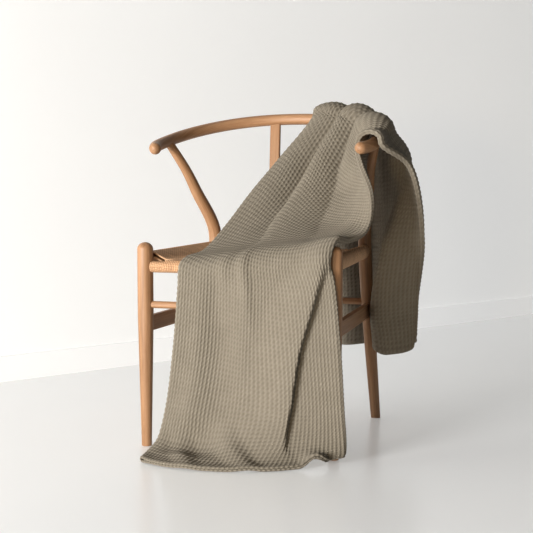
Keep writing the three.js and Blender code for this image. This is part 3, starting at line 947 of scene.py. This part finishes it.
@dataclass
class DrapedBlanket:
    """The blanket: one length of waffle knit, folded once along its length."""

    form: ClothForm = field(default_factory=ClothForm)
    flat: Pair = (1.0, 1.7)
    layer: float = 4.5
    gap: float = 1.5
    edge_swell: float = 1.6
    edge_swell_reach: float = 45.0
    under_short: float = 11.0
    bend_reach: float = 14.0
    bend_step: float = 0.02
    roll_turns: tuple[float, ...] = (-180.0, -180.0, -155.0, -128.0, -100.0, -74.0, -48.0, -24.0)
    roll_laps: tuple[float, ...] = (9.5, 4.5, 0.0, 0.0, 0.0, 0.0, 0.0, 0.0)
    fold_turns: tuple[float, ...] = (45.0, 90.0, 135.0)
    under_turn: float = 180.0
    upper_cells: int = 48
    upper_steps: int = 3
    under_cells: int = 48
    under_steps: int = 2
    row_cells: int = 156
    row_steps: int = 2
    bead_height: float = 0.9
    rib_height: float = -0.3
    link_height: float = -0.5
    pit_depth: float = 1.6
    under_relief: float = 0.5
    inner_relief: float = 0.8
    hem_profile: Triple = (-1.3, 0.5, -0.9)
    row_lean: tuple[tuple[Place, float], ...] = (
        (P.FLOOR_BEND, 0.0),
        (P.LOW_FALL, 0.08),
        (P.MID_FALL, 0.12),
        (P.MID_SLOPE, 0.46),
        (P.HIGH_SLOPE, 0.46),
        (P.BOW_OUTSIDE, 0.40),
        (P.BACK_LOW, 0.0),
    )
    lean_pivot: float = 0.4
    lean_ease: Pair = (0.45, 0.85)
    # Distance from the folded edge, reach and height.
    corners: tuple[Triple, ...] = ((492.0, 60.0, 32.0), (362.0, 42.0, 26.0))
    corner_fade: float = 4.0
    floor_gap: float = 0.3
    inner_stride: int = 4

    def columns(self) -> tuple[Array, Array, Array]:
        """Lists the columns round the section, from the rolled edge to the under layer's end.

        Returns:
            Each column's share of the width, its turn round the folded or rolled edge in degrees,
            and its place counted in cells, whole where it runs through pits.
        """
        width = self.form.width
        first = (self.layer + self.gap / 2 + self.edge_swell) / width
        last = 1 - first
        upper_count = self.upper_cells * self.upper_steps + 1
        under_count = self.under_cells * self.under_steps + 1
        rolled, folded = len(self.roll_turns), len(self.fold_turns)
        shares = np.concatenate([
            last - np.array(self.roll_laps) / width,
            np.linspace(last, first, upper_count),
            np.full(folded, first),
            np.linspace(first, last - self.under_short / width, under_count),
        ])
        turns = np.concatenate([
            self.roll_turns,
            np.zeros(upper_count),
            self.fold_turns,
            np.full(under_count, self.under_turn),
        ])
        upper = (np.arange(-rolled, upper_count + folded) + 1) / self.upper_steps
        under = np.ceil(upper[-1]) + (np.arange(under_count) + 1) / self.under_steps
        return shares, turns, np.concatenate([upper, under])

    def relief(self, rows: int, turns: Array, cells: Array) -> Array:
        """Heights of the waffle, with a plain rib along both hems.

        Args:
            rows: Number of rows of points.
            turns: Each column's turn.
            cells: Each column's place in cells.

        Returns:
            Heights in millimetres, by row and column.
        """
        pit_rows = np.arange(rows) % self.row_steps == 1
        pit_columns = np.isclose(cells, np.round(cells))
        heights = np.full((rows, len(cells)), self.bead_height)
        heights[pit_rows] = self.rib_height
        heights[:, pit_columns] = self.link_height
        heights[np.ix_(pit_rows, pit_columns)] = -self.pit_depth
        heights[:, turns == self.under_turn] *= self.under_relief
        for number, height in enumerate(self.hem_profile):
            heights[[number, -1 - number], :] = height
        return heights

    def leaning_rows(self, shares: Array, rows: int) -> Array:
        """Places the rows of the knit, which lean where the cloth is drawn aside.

        Args:
            shares: Each column's share of the width.
            rows: Number of rows of points.

        Returns:
            The station of each point, by row and column.
        """
        even = self.form.even_stations(rows)
        count = np.arange(rows) / self.row_steps
        places, leans = zip(*((at.value, lean) for at, lean in self.row_lean))
        lean = np.interp(even, places, leans)
        start, end = self.lean_ease
        ease = np.clip((shares - start) / (end - start), 0, 1)
        eased = np.minimum(shares, start) + (end - start) * (ease - ease**3 + ease**4 / 2)
        aside = (eased - self.lean_pivot) * self.upper_cells
        return np.stack([np.interp(count, count + lean * cells, even) for cells in aside], 1)

    def corner_lift(self, points: Array, places: Array) -> Array:
        """Rounds the hanging end at the rolled edge and at the fold beside it.

        Args:
            points: A face's points, by row and column.
            places: Each column's distance from the folded edge.

        Returns:
            How far each point rises, in millimetres.
        """
        above = np.linalg.norm(points - points[-1], axis=-1)
        rise = np.zeros(points.shape[:2])
        for across, reach, height in self.corners:
            inward = np.clip(1 - np.abs(places - across) / reach, 0, 1)
            fade = bell(above, self.corner_fade * height)
            rise += height * (1 - np.sqrt(1 - inward**2)) * fade
        return rise

    def build(self, material: Paint) -> Piece:
        """Args:
            material: The knit.

        Returns:
            The blanket.
        """
        shares, turns, cells = self.columns()
        rows = self.row_cells * self.row_steps + 1
        stations = self.leaning_rows(shares, rows)
        width = self.form.width
        face = self.form.folded(shares, stations)
        across, out = self.form.axes(
            self.form.folded, shares, stations, self.bend_reach / width, self.bend_step
        )
        middle = face - out * (self.layer + self.gap / 2)
        angles = np.radians(turns)[:, None]
        direction = out * np.cos(angles) - across * np.sin(angles)
        from_edge = np.minimum(shares - shares.min(), shares.max() - shares) * width
        half = (self.gap / 2 + self.edge_swell * bell(from_edge, self.edge_swell_reach))[:, None]
        heights = self.relief(rows, turns, cells)
        outer = middle + direction * (half + self.layer + heights[..., None])
        outer[..., 2] = np.maximum(outer[..., 2], self.floor_gap)
        inner = middle + direction * half
        for points in (outer, inner):
            points[..., 2] += self.corner_lift(points, shares * width)
        uv = np.stack(np.meshgrid(cells, (np.arange(rows) - 1) / self.row_steps), -1)
        piece = self.mesh(outer, inner, heights, uv)
        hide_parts("blanket")
        return dress(piece, material, Slot.KNIT)

    def mesh(self, outer: Array, inner: Array, heights: Array, uv: Array) -> Piece:
        """Closes the outer face and a coarser inner face into one cloth.

        Args:
            outer: Points of the face that shows, by row and column.
            inner: Points of the face between the layers.
            heights: The waffle's heights.
            uv: The map, in cells.

        Returns:
            The mesh object, with its map and its relief attribute.
        """
        rows, columns = heights.shape
        stride = self.inner_stride
        keep = np.zeros((rows, columns), bool)
        keep[::stride, ::stride] = True
        keep[[0, -1], :] = True
        keep[:, [0, -1]] = True
        over = np.arange(rows * columns).reshape(rows, columns)
        under = np.full((rows, columns), -1)
        under[keep] = rows * columns + np.arange(keep.sum())
        quads = (over[:-1, :-1], over[1:, :-1], over[1:, 1:], over[:-1, 1:])
        faces = np.stack([corner.ravel() for corner in quads], -1).tolist()
        for row in range(0, rows - 1, stride):
            for column in range(0, columns - 1, stride):
                border = block_border(row, column, stride, stride)
                faces.append(tuple(int(under[cell]) for cell in border if keep[cell]))
        rim = block_border(0, 0, rows - 1, columns - 1)
        for first, second in zip(rim, rim[1:] + rim[:1]):
            corners = (under[first], over[first], over[second], under[second])
            faces.append(tuple(int(corner) for corner in corners))
        points = placed(np.concatenate([outer.reshape(-1, 3), inner[keep]]))
        uv = np.concatenate([uv.reshape(-1, 2), uv[keep]])
        piece = mesh_piece("knitted_blanket", points, faces, uv)
        # The relief share drives the shade painted into the knit's pits.
        low, high = -self.pit_depth, self.bead_height
        share = np.clip((heights - low) / (high - low), 0, 1)
        values = np.concatenate([share.ravel(), np.full(keep.sum(), self.inner_relief)])
        attribute = piece.data.attributes.new("relief", "FLOAT", "POINT")
        attribute.data.foreach_set("value", values.astype(np.float32))
        return piece


@dataclass
class ChairFrame:
    """The wooden pieces of the chair."""

    bow: BowLine = field(default_factory=BowLine)
    bow_radius: float = 14.0
    bow_steps: int = 161
    ball_turns: tuple[float, ...] = tuple(np.linspace(0, 88, 8)[1:])
    post_foot: float = 4.0
    leg_height: float = 466.0
    leg_dome: float = 16.0
    leg_top: float = 18.0
    leg_round: float = 0.98
    leg_foot: float = 11.5
    leg_foot_bevel: float = 1.2
    leg_taper_from: float = 300.0
    stretcher_radius: float = 8.0
    stretcher_shoulder: float = 0.3
    front_stretcher_z: float = 325.0
    back_stretcher_z: float = 300.0
    board_z: float = 280.0
    board_inset: float = 5.0
    board_size: Pair = (13.0, 36.0)
    board_bevel: float = 2.4
    slat_top_x: float = 55.0
    slat_foot: Pair = (40.0, 425.0)  # distance from the middle and height
    slat_inset: float = 6.0
    slat_size: Pair = (26.0, 11.0)
    seat_rim: float = 426.5
    sides: int = 48
    bar_sides: int = 32

    @staticmethod
    def post_line(side: Side, count: int = 120) -> Array:
        """Centre line of a rear post.

        Args:
            side: The side it stands on.
            count: Number of points.

        Returns:
            Points in millimetres, with the radius as fourth column.
        """
        rows = POST_ROWS * np.array((side.value, 1, 1, 1))
        places = np.linspace(0, len(rows) - 1, count)
        line = centripetal(rows[:, :3], places)
        radius = np.interp(places, np.arange(len(rows)), rows[:, 3])
        return np.column_stack([line, radius])

    def post_at(self, side: Side, z: float) -> Array:
        """The place on a rear post's centre line at a height."""
        line = self.post_line(side, 800)
        return np.array([np.interp(z, line[:, 2], line[:, k]) for k in range(3)])

    @staticmethod
    def leg_at(side: Side, z: float) -> Array:
        """The place on a front leg's centre line at a height."""
        return np.array((side.value * FRONT_LEG_X, 0.0, z))

    def swept_bar(self, name: str, path: Array, radii: Array, twist: str) -> Piece:
        """Draws a round bar along a line.

        Args:
            name: The piece's name.
            path: Points along it, in millimetres in the chair's frame.
            radii: The bar's radius at each point.
            twist: How the curve's rings are turned along it.

        Returns:
            The bar, as a mesh.
        """
        deselect_all()
        bpy.ops.curve.primitive_nurbs_path_add(location=(0, 0, 0))
        curve = bpy.context.object.data
        curve.splines.clear()
        spline = curve.splines.new("POLY")
        spline.points.add(len(path) - 1)
        points = placed(path)
        spline.points.foreach_set("co", np.column_stack([points, np.ones(len(points))]).ravel())
        spline.points.foreach_set("radius", radii * MM)
        curve.bevel_depth = 1.0
        curve.bevel_resolution = self.sides // 4
        curve.use_fill_caps = True
        curve.twist_mode = twist
        bpy.ops.object.convert(target="MESH")
        edit_all()
        bpy.ops.mesh.remove_doubles(threshold=HAIR / 10)
        bpy.ops.mesh.normals_make_consistent(inside=False)
        piece = settle(name)
        set_grain(piece, points)
        return piece

    def bow_rail(self) -> Piece:
        """Bends the bow, with a ball at each arm end.

        Returns:
            The bow.
        """
        end = 90 + self.bow.arm_turn
        line = self.bow.points(np.linspace(-end, end, self.bow_steps))
        turns = np.radians(self.ball_turns)
        caps = []
        for tip, inner in ((line[0], line[1]), (line[-1], line[-2])):
            away = unit(tip - inner)
            caps.append(tip + away * (self.bow_radius * np.sin(turns))[:, None])
        path = np.concatenate([caps[0][::-1], line, caps[1]])
        ball = self.bow_radius * np.cos(turns)
        radii = np.concatenate([ball[::-1], np.full(len(line), self.bow_radius), ball])
        piece = self.swept_bar("bow_rail_bent", path, radii, "Z_UP")
        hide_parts("bow_rail")
        return piece

    def rear_post(self, side: Side) -> Piece:
        """Bends one rear post from the floor to the bow.

        Args:
            side: The side it stands on.

        Returns:
            The post.
        """
        line = self.post_line(side)
        line[0, 2] = 0
        name = f"rear_post_bent_{side.word}"
        piece = self.swept_bar(name, line[:, :3], line[:, 3], "MINIMUM")
        pick(piece, lambda place: place.z < self.post_foot * MM)
        bpy.ops.transform.resize(value=(1, 1, 0), center_override=(0, 0, 0))
        settle(piece.name)
        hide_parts(f"rear_post_{side.word}")
        return piece

    def front_leg(self, side: Side) -> Piece:
        """Turns one front leg: a cylinder, tapered to its foot and domed at its top.

        Args:
            side: The side it stands on.

        Returns:
            The leg.
        """
        deselect_all()
        x, y, _ = placed(self.leg_at(side, 0))
        height, dome = self.leg_height * MM, self.leg_dome * MM
        ball = self.leg_top * self.leg_round * MM
        tall = height - dome + ball
        bpy.ops.mesh.primitive_cylinder_add(
            vertices=self.sides, radius=self.leg_top * MM, depth=tall, location=(x, y, tall / 2)
        )
        bpy.ops.object.transform_apply()
        piece = bpy.context.object
        edit_all()
        bpy.ops.mesh.bisect(plane_co=(x, y, self.leg_taper_from * MM), plane_no=(0, 0, 1))
        pick(piece, lambda place: place.z < HAIR)
        thin = self.leg_foot / self.leg_top
        bpy.ops.transform.resize(value=(thin, thin, 1), center_override=(x, y, 0))
        bpy.ops.mesh.bevel(offset=self.leg_foot_bevel * MM, segments=2)
        pick(piece, lambda place: place.z > tall - HAIR)
        bpy.ops.mesh.bevel(offset=ball, segments=12)
        pick(piece, lambda place: place.z > height - dome + HAIR)
        bpy.ops.transform.resize(value=(1, 1, dome / ball), center_override=(x, y, height - dome))
        piece = settle(f"front_leg_turned_{side.word}")
        set_grain(piece, np.array(((x, y, 0), (x, y, height))))
        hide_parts(f"front_leg_{side.word}")
        return piece

    def stretcher(self, word: str, start: Array, end: Array) -> Piece:
        """Turns a straight bar with rounded shoulders.

        Args:
            word: Where it stands, for its name.
            start: One end, in millimetres in the chair's frame.
            end: The other end.

        Returns:
            The bar.
        """
        deselect_all()
        a, b = Vector(placed(start)), Vector(placed(end))
        radius = self.stretcher_radius * MM
        turn = (b - a).to_track_quat("Z", "Y").to_euler()
        bpy.ops.mesh.primitive_cylinder_add(
            vertices=self.bar_sides,
            radius=radius,
            depth=(b - a).length,
            location=(a + b) / 2,
            rotation=turn,
        )
        half = (b - a).length / 2 - HAIR
        pick(bpy.context.object, lambda place: abs(place.z) > half)
        bpy.ops.mesh.bevel(offset=radius * self.stretcher_shoulder, segments=4)
        piece = settle(f"stretcher_turned_{word}")
        set_grain(piece, np.array((a, b)))
        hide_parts(f"stretcher_{word}")
        return piece

    def flat_board(self, name: str, start: Array, end: Array, size: Pair, up: Vector) -> Piece:
        """Planes a straight board with eased edges.

        Args:
            name: The piece's name.
            start: One end, in millimetres in the chair's frame.
            end: The other end.
            size: Its size across and in the direction of up.
            up: That direction.

        Returns:
            The board.
        """
        deselect_all()
        a, b = Vector(placed(start)), Vector(placed(end))
        along = (b - a).normalized()
        aside = up.cross(along).normalized()
        turn = Matrix((aside, along.cross(aside), along)).transposed().to_euler()
        bpy.ops.mesh.primitive_cube_add(size=1, location=(a + b) / 2, rotation=turn)
        bpy.context.object.scale = (size[0] * MM, size[1] * MM, (b - a).length)
        bpy.ops.object.transform_apply()
        edit_all()
        bpy.ops.mesh.bevel(offset=self.board_bevel * MM, segments=4)
        piece = settle(name)
        set_grain(piece, np.array((a, b)))
        return piece

    def side_board(self, side: Side) -> Piece:
        """Planes the board between a front leg and a rear post.

        Args:
            side: The side it lies on.

        Returns:
            The board.
        """
        front, back = self.leg_at(side, self.board_z), self.post_at(side, self.board_z)
        ease = unit(back - front) * self.board_inset
        name = f"side_board_planed_{side.word}"
        piece = self.flat_board(name, front + ease, back - ease, self.board_size, Vector(UP))
        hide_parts(f"side_board_{side.word}")
        return piece

    def back_slat(self, side: Side) -> Piece:
        """Planes one slat from the back of the seat to the bow.

        Args:
            side: The side it stands on.

        Returns:
            The slat.
        """
        x, z = self.slat_foot
        y = self.post_at(side, self.seat_rim)[1] - self.slat_inset
        foot = np.array((side.value * x, y, z))
        sine = (self.slat_top_x / self.bow.half_width) ** (self.bow.roundness / 2)
        top = self.bow.points(np.array([side.value * math.degrees(math.asin(sine))]))[0]
        name = f"back_slat_{side.word}"
        piece = self.flat_board(name, foot, top, self.slat_size, Vector((0, 1, 0)))
        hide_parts(f"slat_{side.word}")
        return piece

    def build(self, material: Paint) -> list[Piece]:
        """Makes and dresses all wooden pieces.

        Args:
            material: The wood.

        Returns:
            The pieces.
        """
        pieces = [self.bow_rail()]
        for side in Side:
            for make in (self.front_leg, self.rear_post, self.side_board, self.back_slat):
                pieces.append(make(side))
        for word, place, z in (
            ("front", self.leg_at, self.front_stretcher_z),
            ("back", self.post_at, self.back_stretcher_z),
        ):
            pieces.append(self.stretcher(word, place(Side.LEFT, z), place(Side.RIGHT, z)))
        return [dress(piece, material, Slot.WOOD) for piece in pieces]


@dataclass
class CordSeat:
    """The woven seat: strands from the four rails to the diagonals, wound round the rails."""

    chair: ChairFrame
    side_rise: float = 19.5
    sag: float = 9.0
    drop_from: float = 0.94
    drop_to: float = 0.76
    overhang: float = 7.0
    cord_radius: float = 2.15
    pitch: float = 4.2
    strand_sides: int = 6
    run_steps: int = 6
    ring_steps: int = 15
    wind: tuple[float, float, int] = (75.0, -100.0, 9)  # first and last angle, and how many
    corner_gap: float = 30.0
    layer_drop: float = 12.0
    front_rail: Triple = (411.0, 13.5, 17.0)  # height, wound radius and gap at its ends
    back_rail: Triple = (411.0, 11.5, 15.0)
    end_reach: float = 0.97
    side_rail_z: float = 426.5
    side_rail: Pair = (13.5, 18.5)  # half the wound width and height
    side_reach: float = 0.96
    side_clear: Pair = (19.0, 16.0)  # gaps at the front and at the back
    map_shift: float = 0.0013
    map_shifts: int = 7

    @property
    def back(self) -> Array:
        """The right rear post's place at the height of the rim."""
        return self.chair.post_at(Side.RIGHT, self.chair.seat_rim)

    def surface(self, u: Array, v: Array) -> Array:
        """The seat's top, for places on it.

        Args:
            u: Places from side to side, from -1 to 1.
            v: Places from front to back, from -1 to 1.

        Returns:
            Points in millimetres in the chair's frame.
        """
        back = self.back
        share = (v + 1) / 2
        half = FRONT_LEG_X + (back[0] - FRONT_LEG_X) * share + self.overhang
        y = -self.overhang + (back[1] + 2 * self.overhang) * share
        dish = self.sag * (1 - u * u) * (1 - v * v)
        steep = np.clip((np.abs(u) - self.drop_to) / (self.drop_from - self.drop_to), 0, 1)
        front_rise = steep * steep * (3 - 2 * steep)
        rise = front_rise + (u**4 - front_rise) * np.sqrt(share)
        return np.stack([u * half, y, self.chair.seat_rim + self.side_rise * rise - dish], -1)

    def round_rail(self, axis: Array, out: Array, size: Pair, turns: Array) -> Array:
        """Places of a strand round a rail.

        Args:
            axis: The rail's middle.
            out: The level direction out of the seat.
            size: Half the wound rail's width and height.
            turns: Angles up from that direction, in radians.

        Returns:
            One point for each angle.
        """
        wide, tall = (value - self.cord_radius for value in size)
        return axis + np.outer(np.cos(turns), out) * wide + np.outer(np.sin(turns), UP) * tall

    def wound(self, run: Array, axis: Array, out: Array, size: Pair) -> Array:
        """A strand's line: in from the diagonal over the rail, round it, and back under the seat.

        Args:
            run: Points on the seat's top, from the diagonal to the rail.
            axis: The rail's middle.
            out: The level direction out of the seat.
            size: Half the wound rail's width and height.

        Returns:
            Points along the strand.
        """
        arc = self.round_rail(axis, out, size, np.radians(np.linspace(*self.wind)))
        return np.concatenate([run - UP * self.cord_radius, arc, run[::-1] - UP * self.layer_drop])

    def end_strands(self, front: bool) -> list[Array]:
        """Lines of the strands from the front or the back rail.

        Args:
            front: Whether it is the front rail.

        Returns:
            Points of each strand, in millimetres in the chair's frame.
        """
        sign = -1.0 if front else 1.0
        z, radius, clear = self.front_rail if front else self.back_rail
        y = 0.0 if front else self.back[1]
        half = (FRONT_LEG_X if front else self.back[0]) - clear
        edge = self.surface(np.array(1.0), np.array(sign))[0]
        steps = np.linspace(0, 1, self.run_steps)
        out, size = np.array((0.0, sign, 0.0)), (radius, radius)
        lines = []
        for x in np.arange(-half, half, self.pitch):
            axis = np.array((x, y, z))
            if abs(x) > half - self.corner_gap:
                turns = np.linspace(0, 2 * np.pi, self.ring_steps)
                lines.append(self.round_rail(axis, out, size, turns))
                continue
            inner = abs(x / edge) / (self.drop_to if front else 1.0)
            v = sign * (inner + (self.end_reach - inner) * steps)
            run = self.surface(np.full(len(v), x / edge), v)
            lines.append(self.wound(run, axis, out, size))
        return lines

    def side_strands(self, side: Side) -> list[Array]:
        """Lines of the strands from one side rail.

        Args:
            side: The rail's side.

        Returns:
            Points of each strand, in millimetres in the chair's frame.
        """
        back = self.back
        steps = np.linspace(0, 1, self.run_steps)
        out = np.array((float(side.value), 0.0, 0.0))
        lines = []
        for y in np.arange(self.side_clear[0], back[1] - self.side_clear[1], self.pitch):
            v = 2 * (y + self.overhang) / (back[1] + 2 * self.overhang) - 1
            x = FRONT_LEG_X + (back[0] - FRONT_LEG_X) * y / back[1]
            axis = np.array((side.value * x, y, self.side_rail_z))
            inner = abs(v) * (self.drop_to if v < 0 else 1.0)
            u = side.value * (inner + (self.side_reach - inner) * steps)
            run = self.surface(u, np.full(len(u), v))
            lines.append(self.wound(run, axis, out, self.side_rail))
        return lines

    def build(self, material: Paint) -> Piece:
        """Makes the woven seat as one piece of strands.

        Args:
            material: The cord.

        Returns:
            The seat.
        """
        lines = self.end_strands(True) + self.end_strands(False)
        for side in Side:
            lines += self.side_strands(side)
        points, faces, maps = [], [], []
        count = 0
        sides = self.strand_sides
        angles = np.linspace(0, 2 * np.pi, sides, endpoint=False)
        round_x, round_y = (
            (wave(angles) * self.cord_radius)[None, :, None] for wave in (np.cos, np.sin)
        )
        for line in lines:
            forward = unit(np.gradient(line, axis=0))
            plane = unit(np.cross(line[len(line) // 2] - line[0], line[-1] - line[0]) + 1e-6)
            aside = unit(plane - forward * np.sum(forward * plane, -1, keepdims=True))
            up = np.cross(forward, aside)
            rings = line[:, None] + aside[:, None] * round_x + up[:, None] * round_y
            length = run_lengths(line) * MM + self.map_shift * (count % self.map_shifts)
            maps.append(np.stack(np.meshgrid(angles / (2 * np.pi), length), -1).reshape(-1, 2))
            points.append(rings.reshape(-1, 3))
            for i in range(len(line) - 1):
                for k in range(sides):
                    a, b = count + i * sides + k, count + i * sides + (k + 1) % sides
                    faces.append((a, b, b + sides, a + sides))
            faces.append(tuple(count + k for k in reversed(range(sides))))
            count += len(line) * sides
            faces.append(tuple(range(count - sides, count)))
        points, maps = placed(np.concatenate(points)), np.concatenate(maps)
        piece = mesh_piece("woven_seat", points, faces, maps)
        deselect_all()
        bpy.context.view_layer.objects.active = piece
        piece.select_set(True)
        edit_all()
        bpy.ops.mesh.normals_make_consistent(inside=False)
        bpy.ops.object.mode_set(mode="OBJECT")
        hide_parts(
            "seat", "seat_rail_front", "seat_rail_back", "seat_rail_left", "seat_rail_right"
        )
        return dress(piece, material, Slot.CORD)


class Lamp(NamedTuple):
    """One soft light: its name, power in watts, place, width and height in metres, and colour."""

    name: str
    power: float
    place: Triple
    size: Pair
    colour: Triple


@dataclass
class Studio:
    """The floor, the wall, the light and the camera."""

    camera_place: Triple = (0.8545, -2.4918, 0.6475)
    yaw: float = 0.3061
    pitch: float = -0.0875
    lens: float = 81.05
    sensor: float = 36.0
    key: Lamp = Lamp("key", 440.0, (-2.05, -4.85, 0.9), (1.8, 1.2), (0.99, 0.985, 0.985))
    front: Lamp = Lamp("front", 55.0, (0.2, -5.1, 0.75), (0.5, 0.5), (1.0, 0.80, 0.52))
    look_at: Triple = (0.0, 0.0, 0.35)
    fill_strength: float = 0.09
    floor_size: float = 40.0
    wall_foot: Pair = (-0.3216, 1.5796)
    wall_turn: float = 0.998
    wall_size: Pair = (9.0, 4.0)
    skirting: Pair = (0.075, 0.028)  # height and depth
    pale: Triple = (0.70, 0.70, 0.692)
    cloud: Layer = Layer((2, 2, 2), 3.0, tones=((0.2, (0.679, 0.679, 0.67124)), (0.8, pale)))
    specular: float = 0.3
    floor_finish: Pair = (0.25, 0.28)  # roughness and glow
    wall_finish: Pair = (0.8, 0.49)

    def pale_paint(self, name: str, finish: Pair) -> Paint:
        """Makes a plain pale paint for a studio surface.

        Args:
            name: The material's name.
            finish: How matt it is, and how bright, as if lit by lamps of its own.

        Returns:
            The material, which is clear from behind so that the part shows from all sides.
        """
        nodes = Nodes(name)
        cloud = nodes.noise(nodes.add("TexCoord", {}, "Object"), self.cloud)
        behind = nodes.add("NewGeometry", {}, "Backfacing")
        roughness, glow = finish
        return nodes.surface(
            Base_Color=nodes.ramp(cloud, self.cloud.tones),
            Roughness=roughness,
            Specular_IOR_Level=self.specular,
            Emission_Color=(*self.pale, 1.0),
            Emission_Strength=glow,
            Alpha=nodes.span(behind, 1.0, 0.0),
        )

    def room(self) -> None:
        """Lays a plain pale floor and stands a wall with a skirting behind the chair."""
        deselect_all()
        x, y = self.wall_foot[0] + SHIFT[0], self.wall_foot[1] + SHIFT[1]
        wide, tall = self.wall_size
        high, deep = self.skirting
        upright = (math.pi / 2, 0.0, self.wall_turn)
        flat = bpy.ops.mesh.primitive_plane_add
        floor_paint = self.pale_paint("pale_floor", self.floor_finish)
        wall_paint = self.pale_paint("pale_wall", self.wall_finish)
        level, floor = (0.0, 0.0, 0.0), (self.floor_size, self.floor_size, 1.0)
        for name, add, place, turn, scale, paint in (
            ("studio_floor", flat, level, level, floor, floor_paint),
            ("studio_wall", flat, (x, y, tall / 2), upright, (wide, tall, 1.0), wall_paint),
            (
                "studio_skirting", bpy.ops.mesh.primitive_cube_add, (x, y, high / 2), upright,
                (wide, high, deep), wall_paint,
            ),
        ):
            add(size=1, location=place, rotation=turn)
            piece = bpy.context.object
            piece.name = name
            piece.scale = scale
            bpy.ops.object.transform_apply()
            piece.data.materials.append(paint)

    def hang(self, lamp: Lamp) -> None:
        """Hangs one light that looks at the chair.

        Args:
            lamp: The light.
        """
        data = bpy.data.lights.new(lamp.name, "AREA")
        data.energy = lamp.power
        data.shape = "RECTANGLE"
        data.size, data.size_y = lamp.size
        data.color = lamp.colour
        light = bpy.data.objects.new(lamp.name, data)
        bpy.context.scene.collection.objects.link(light)
        light.location = lamp.place
        look = Vector(self.look_at) - light.location
        light.rotation_euler = look.to_track_quat("-Z", "Y").to_euler()

    def light(self) -> None:
        """Sets a broad key from the left, a weak warm light from the front and a pale surround."""
        self.hang(self.key)
        self.hang(self.front)
        world = bpy.data.worlds.new("surround")
        bpy.context.scene.world = world
        world.use_nodes = True
        background = world.node_tree.nodes["Background"]
        background.inputs["Color"].default_value = (*self.key.colour, 1.0)
        background.inputs["Strength"].default_value = self.fill_strength
        bpy.context.scene.view_settings.view_transform = "Standard"

    def camera(self) -> None:
        """Stands the camera where the photograph was taken from."""
        data = bpy.data.cameras.new("camera")
        data.sensor_width = self.sensor
        data.lens = self.lens
        camera = bpy.data.objects.new("camera", data)
        bpy.context.scene.collection.objects.link(camera)
        camera.location = Vector(self.camera_place) + Vector(SHIFT)
        camera.rotation_euler = (math.pi / 2 + self.pitch, 0.0, self.yaw)
        bpy.context.scene.camera = camera

    def build(self) -> None:
        """Sets up the room, the light and the camera."""
        self.room()
        self.light()
        self.camera()
        LOG.info("studio ready")


def main() -> None:
    """Builds the chair, its seat, the blanket and the studio, and notes the sizes."""
    logging.basicConfig(level=logging.INFO, format="%(name)s %(message)s")
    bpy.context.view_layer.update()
    wood, cord, knit = WoodFinish().make(), CordFinish().make(), KnitFinish().make()
    chair = ChairFrame()
    chair.build(wood)
    CordSeat(chair).build(cord)
    DrapedBlanket().build(knit)
    Studio().build()


if __name__ == "__main__":
    main()
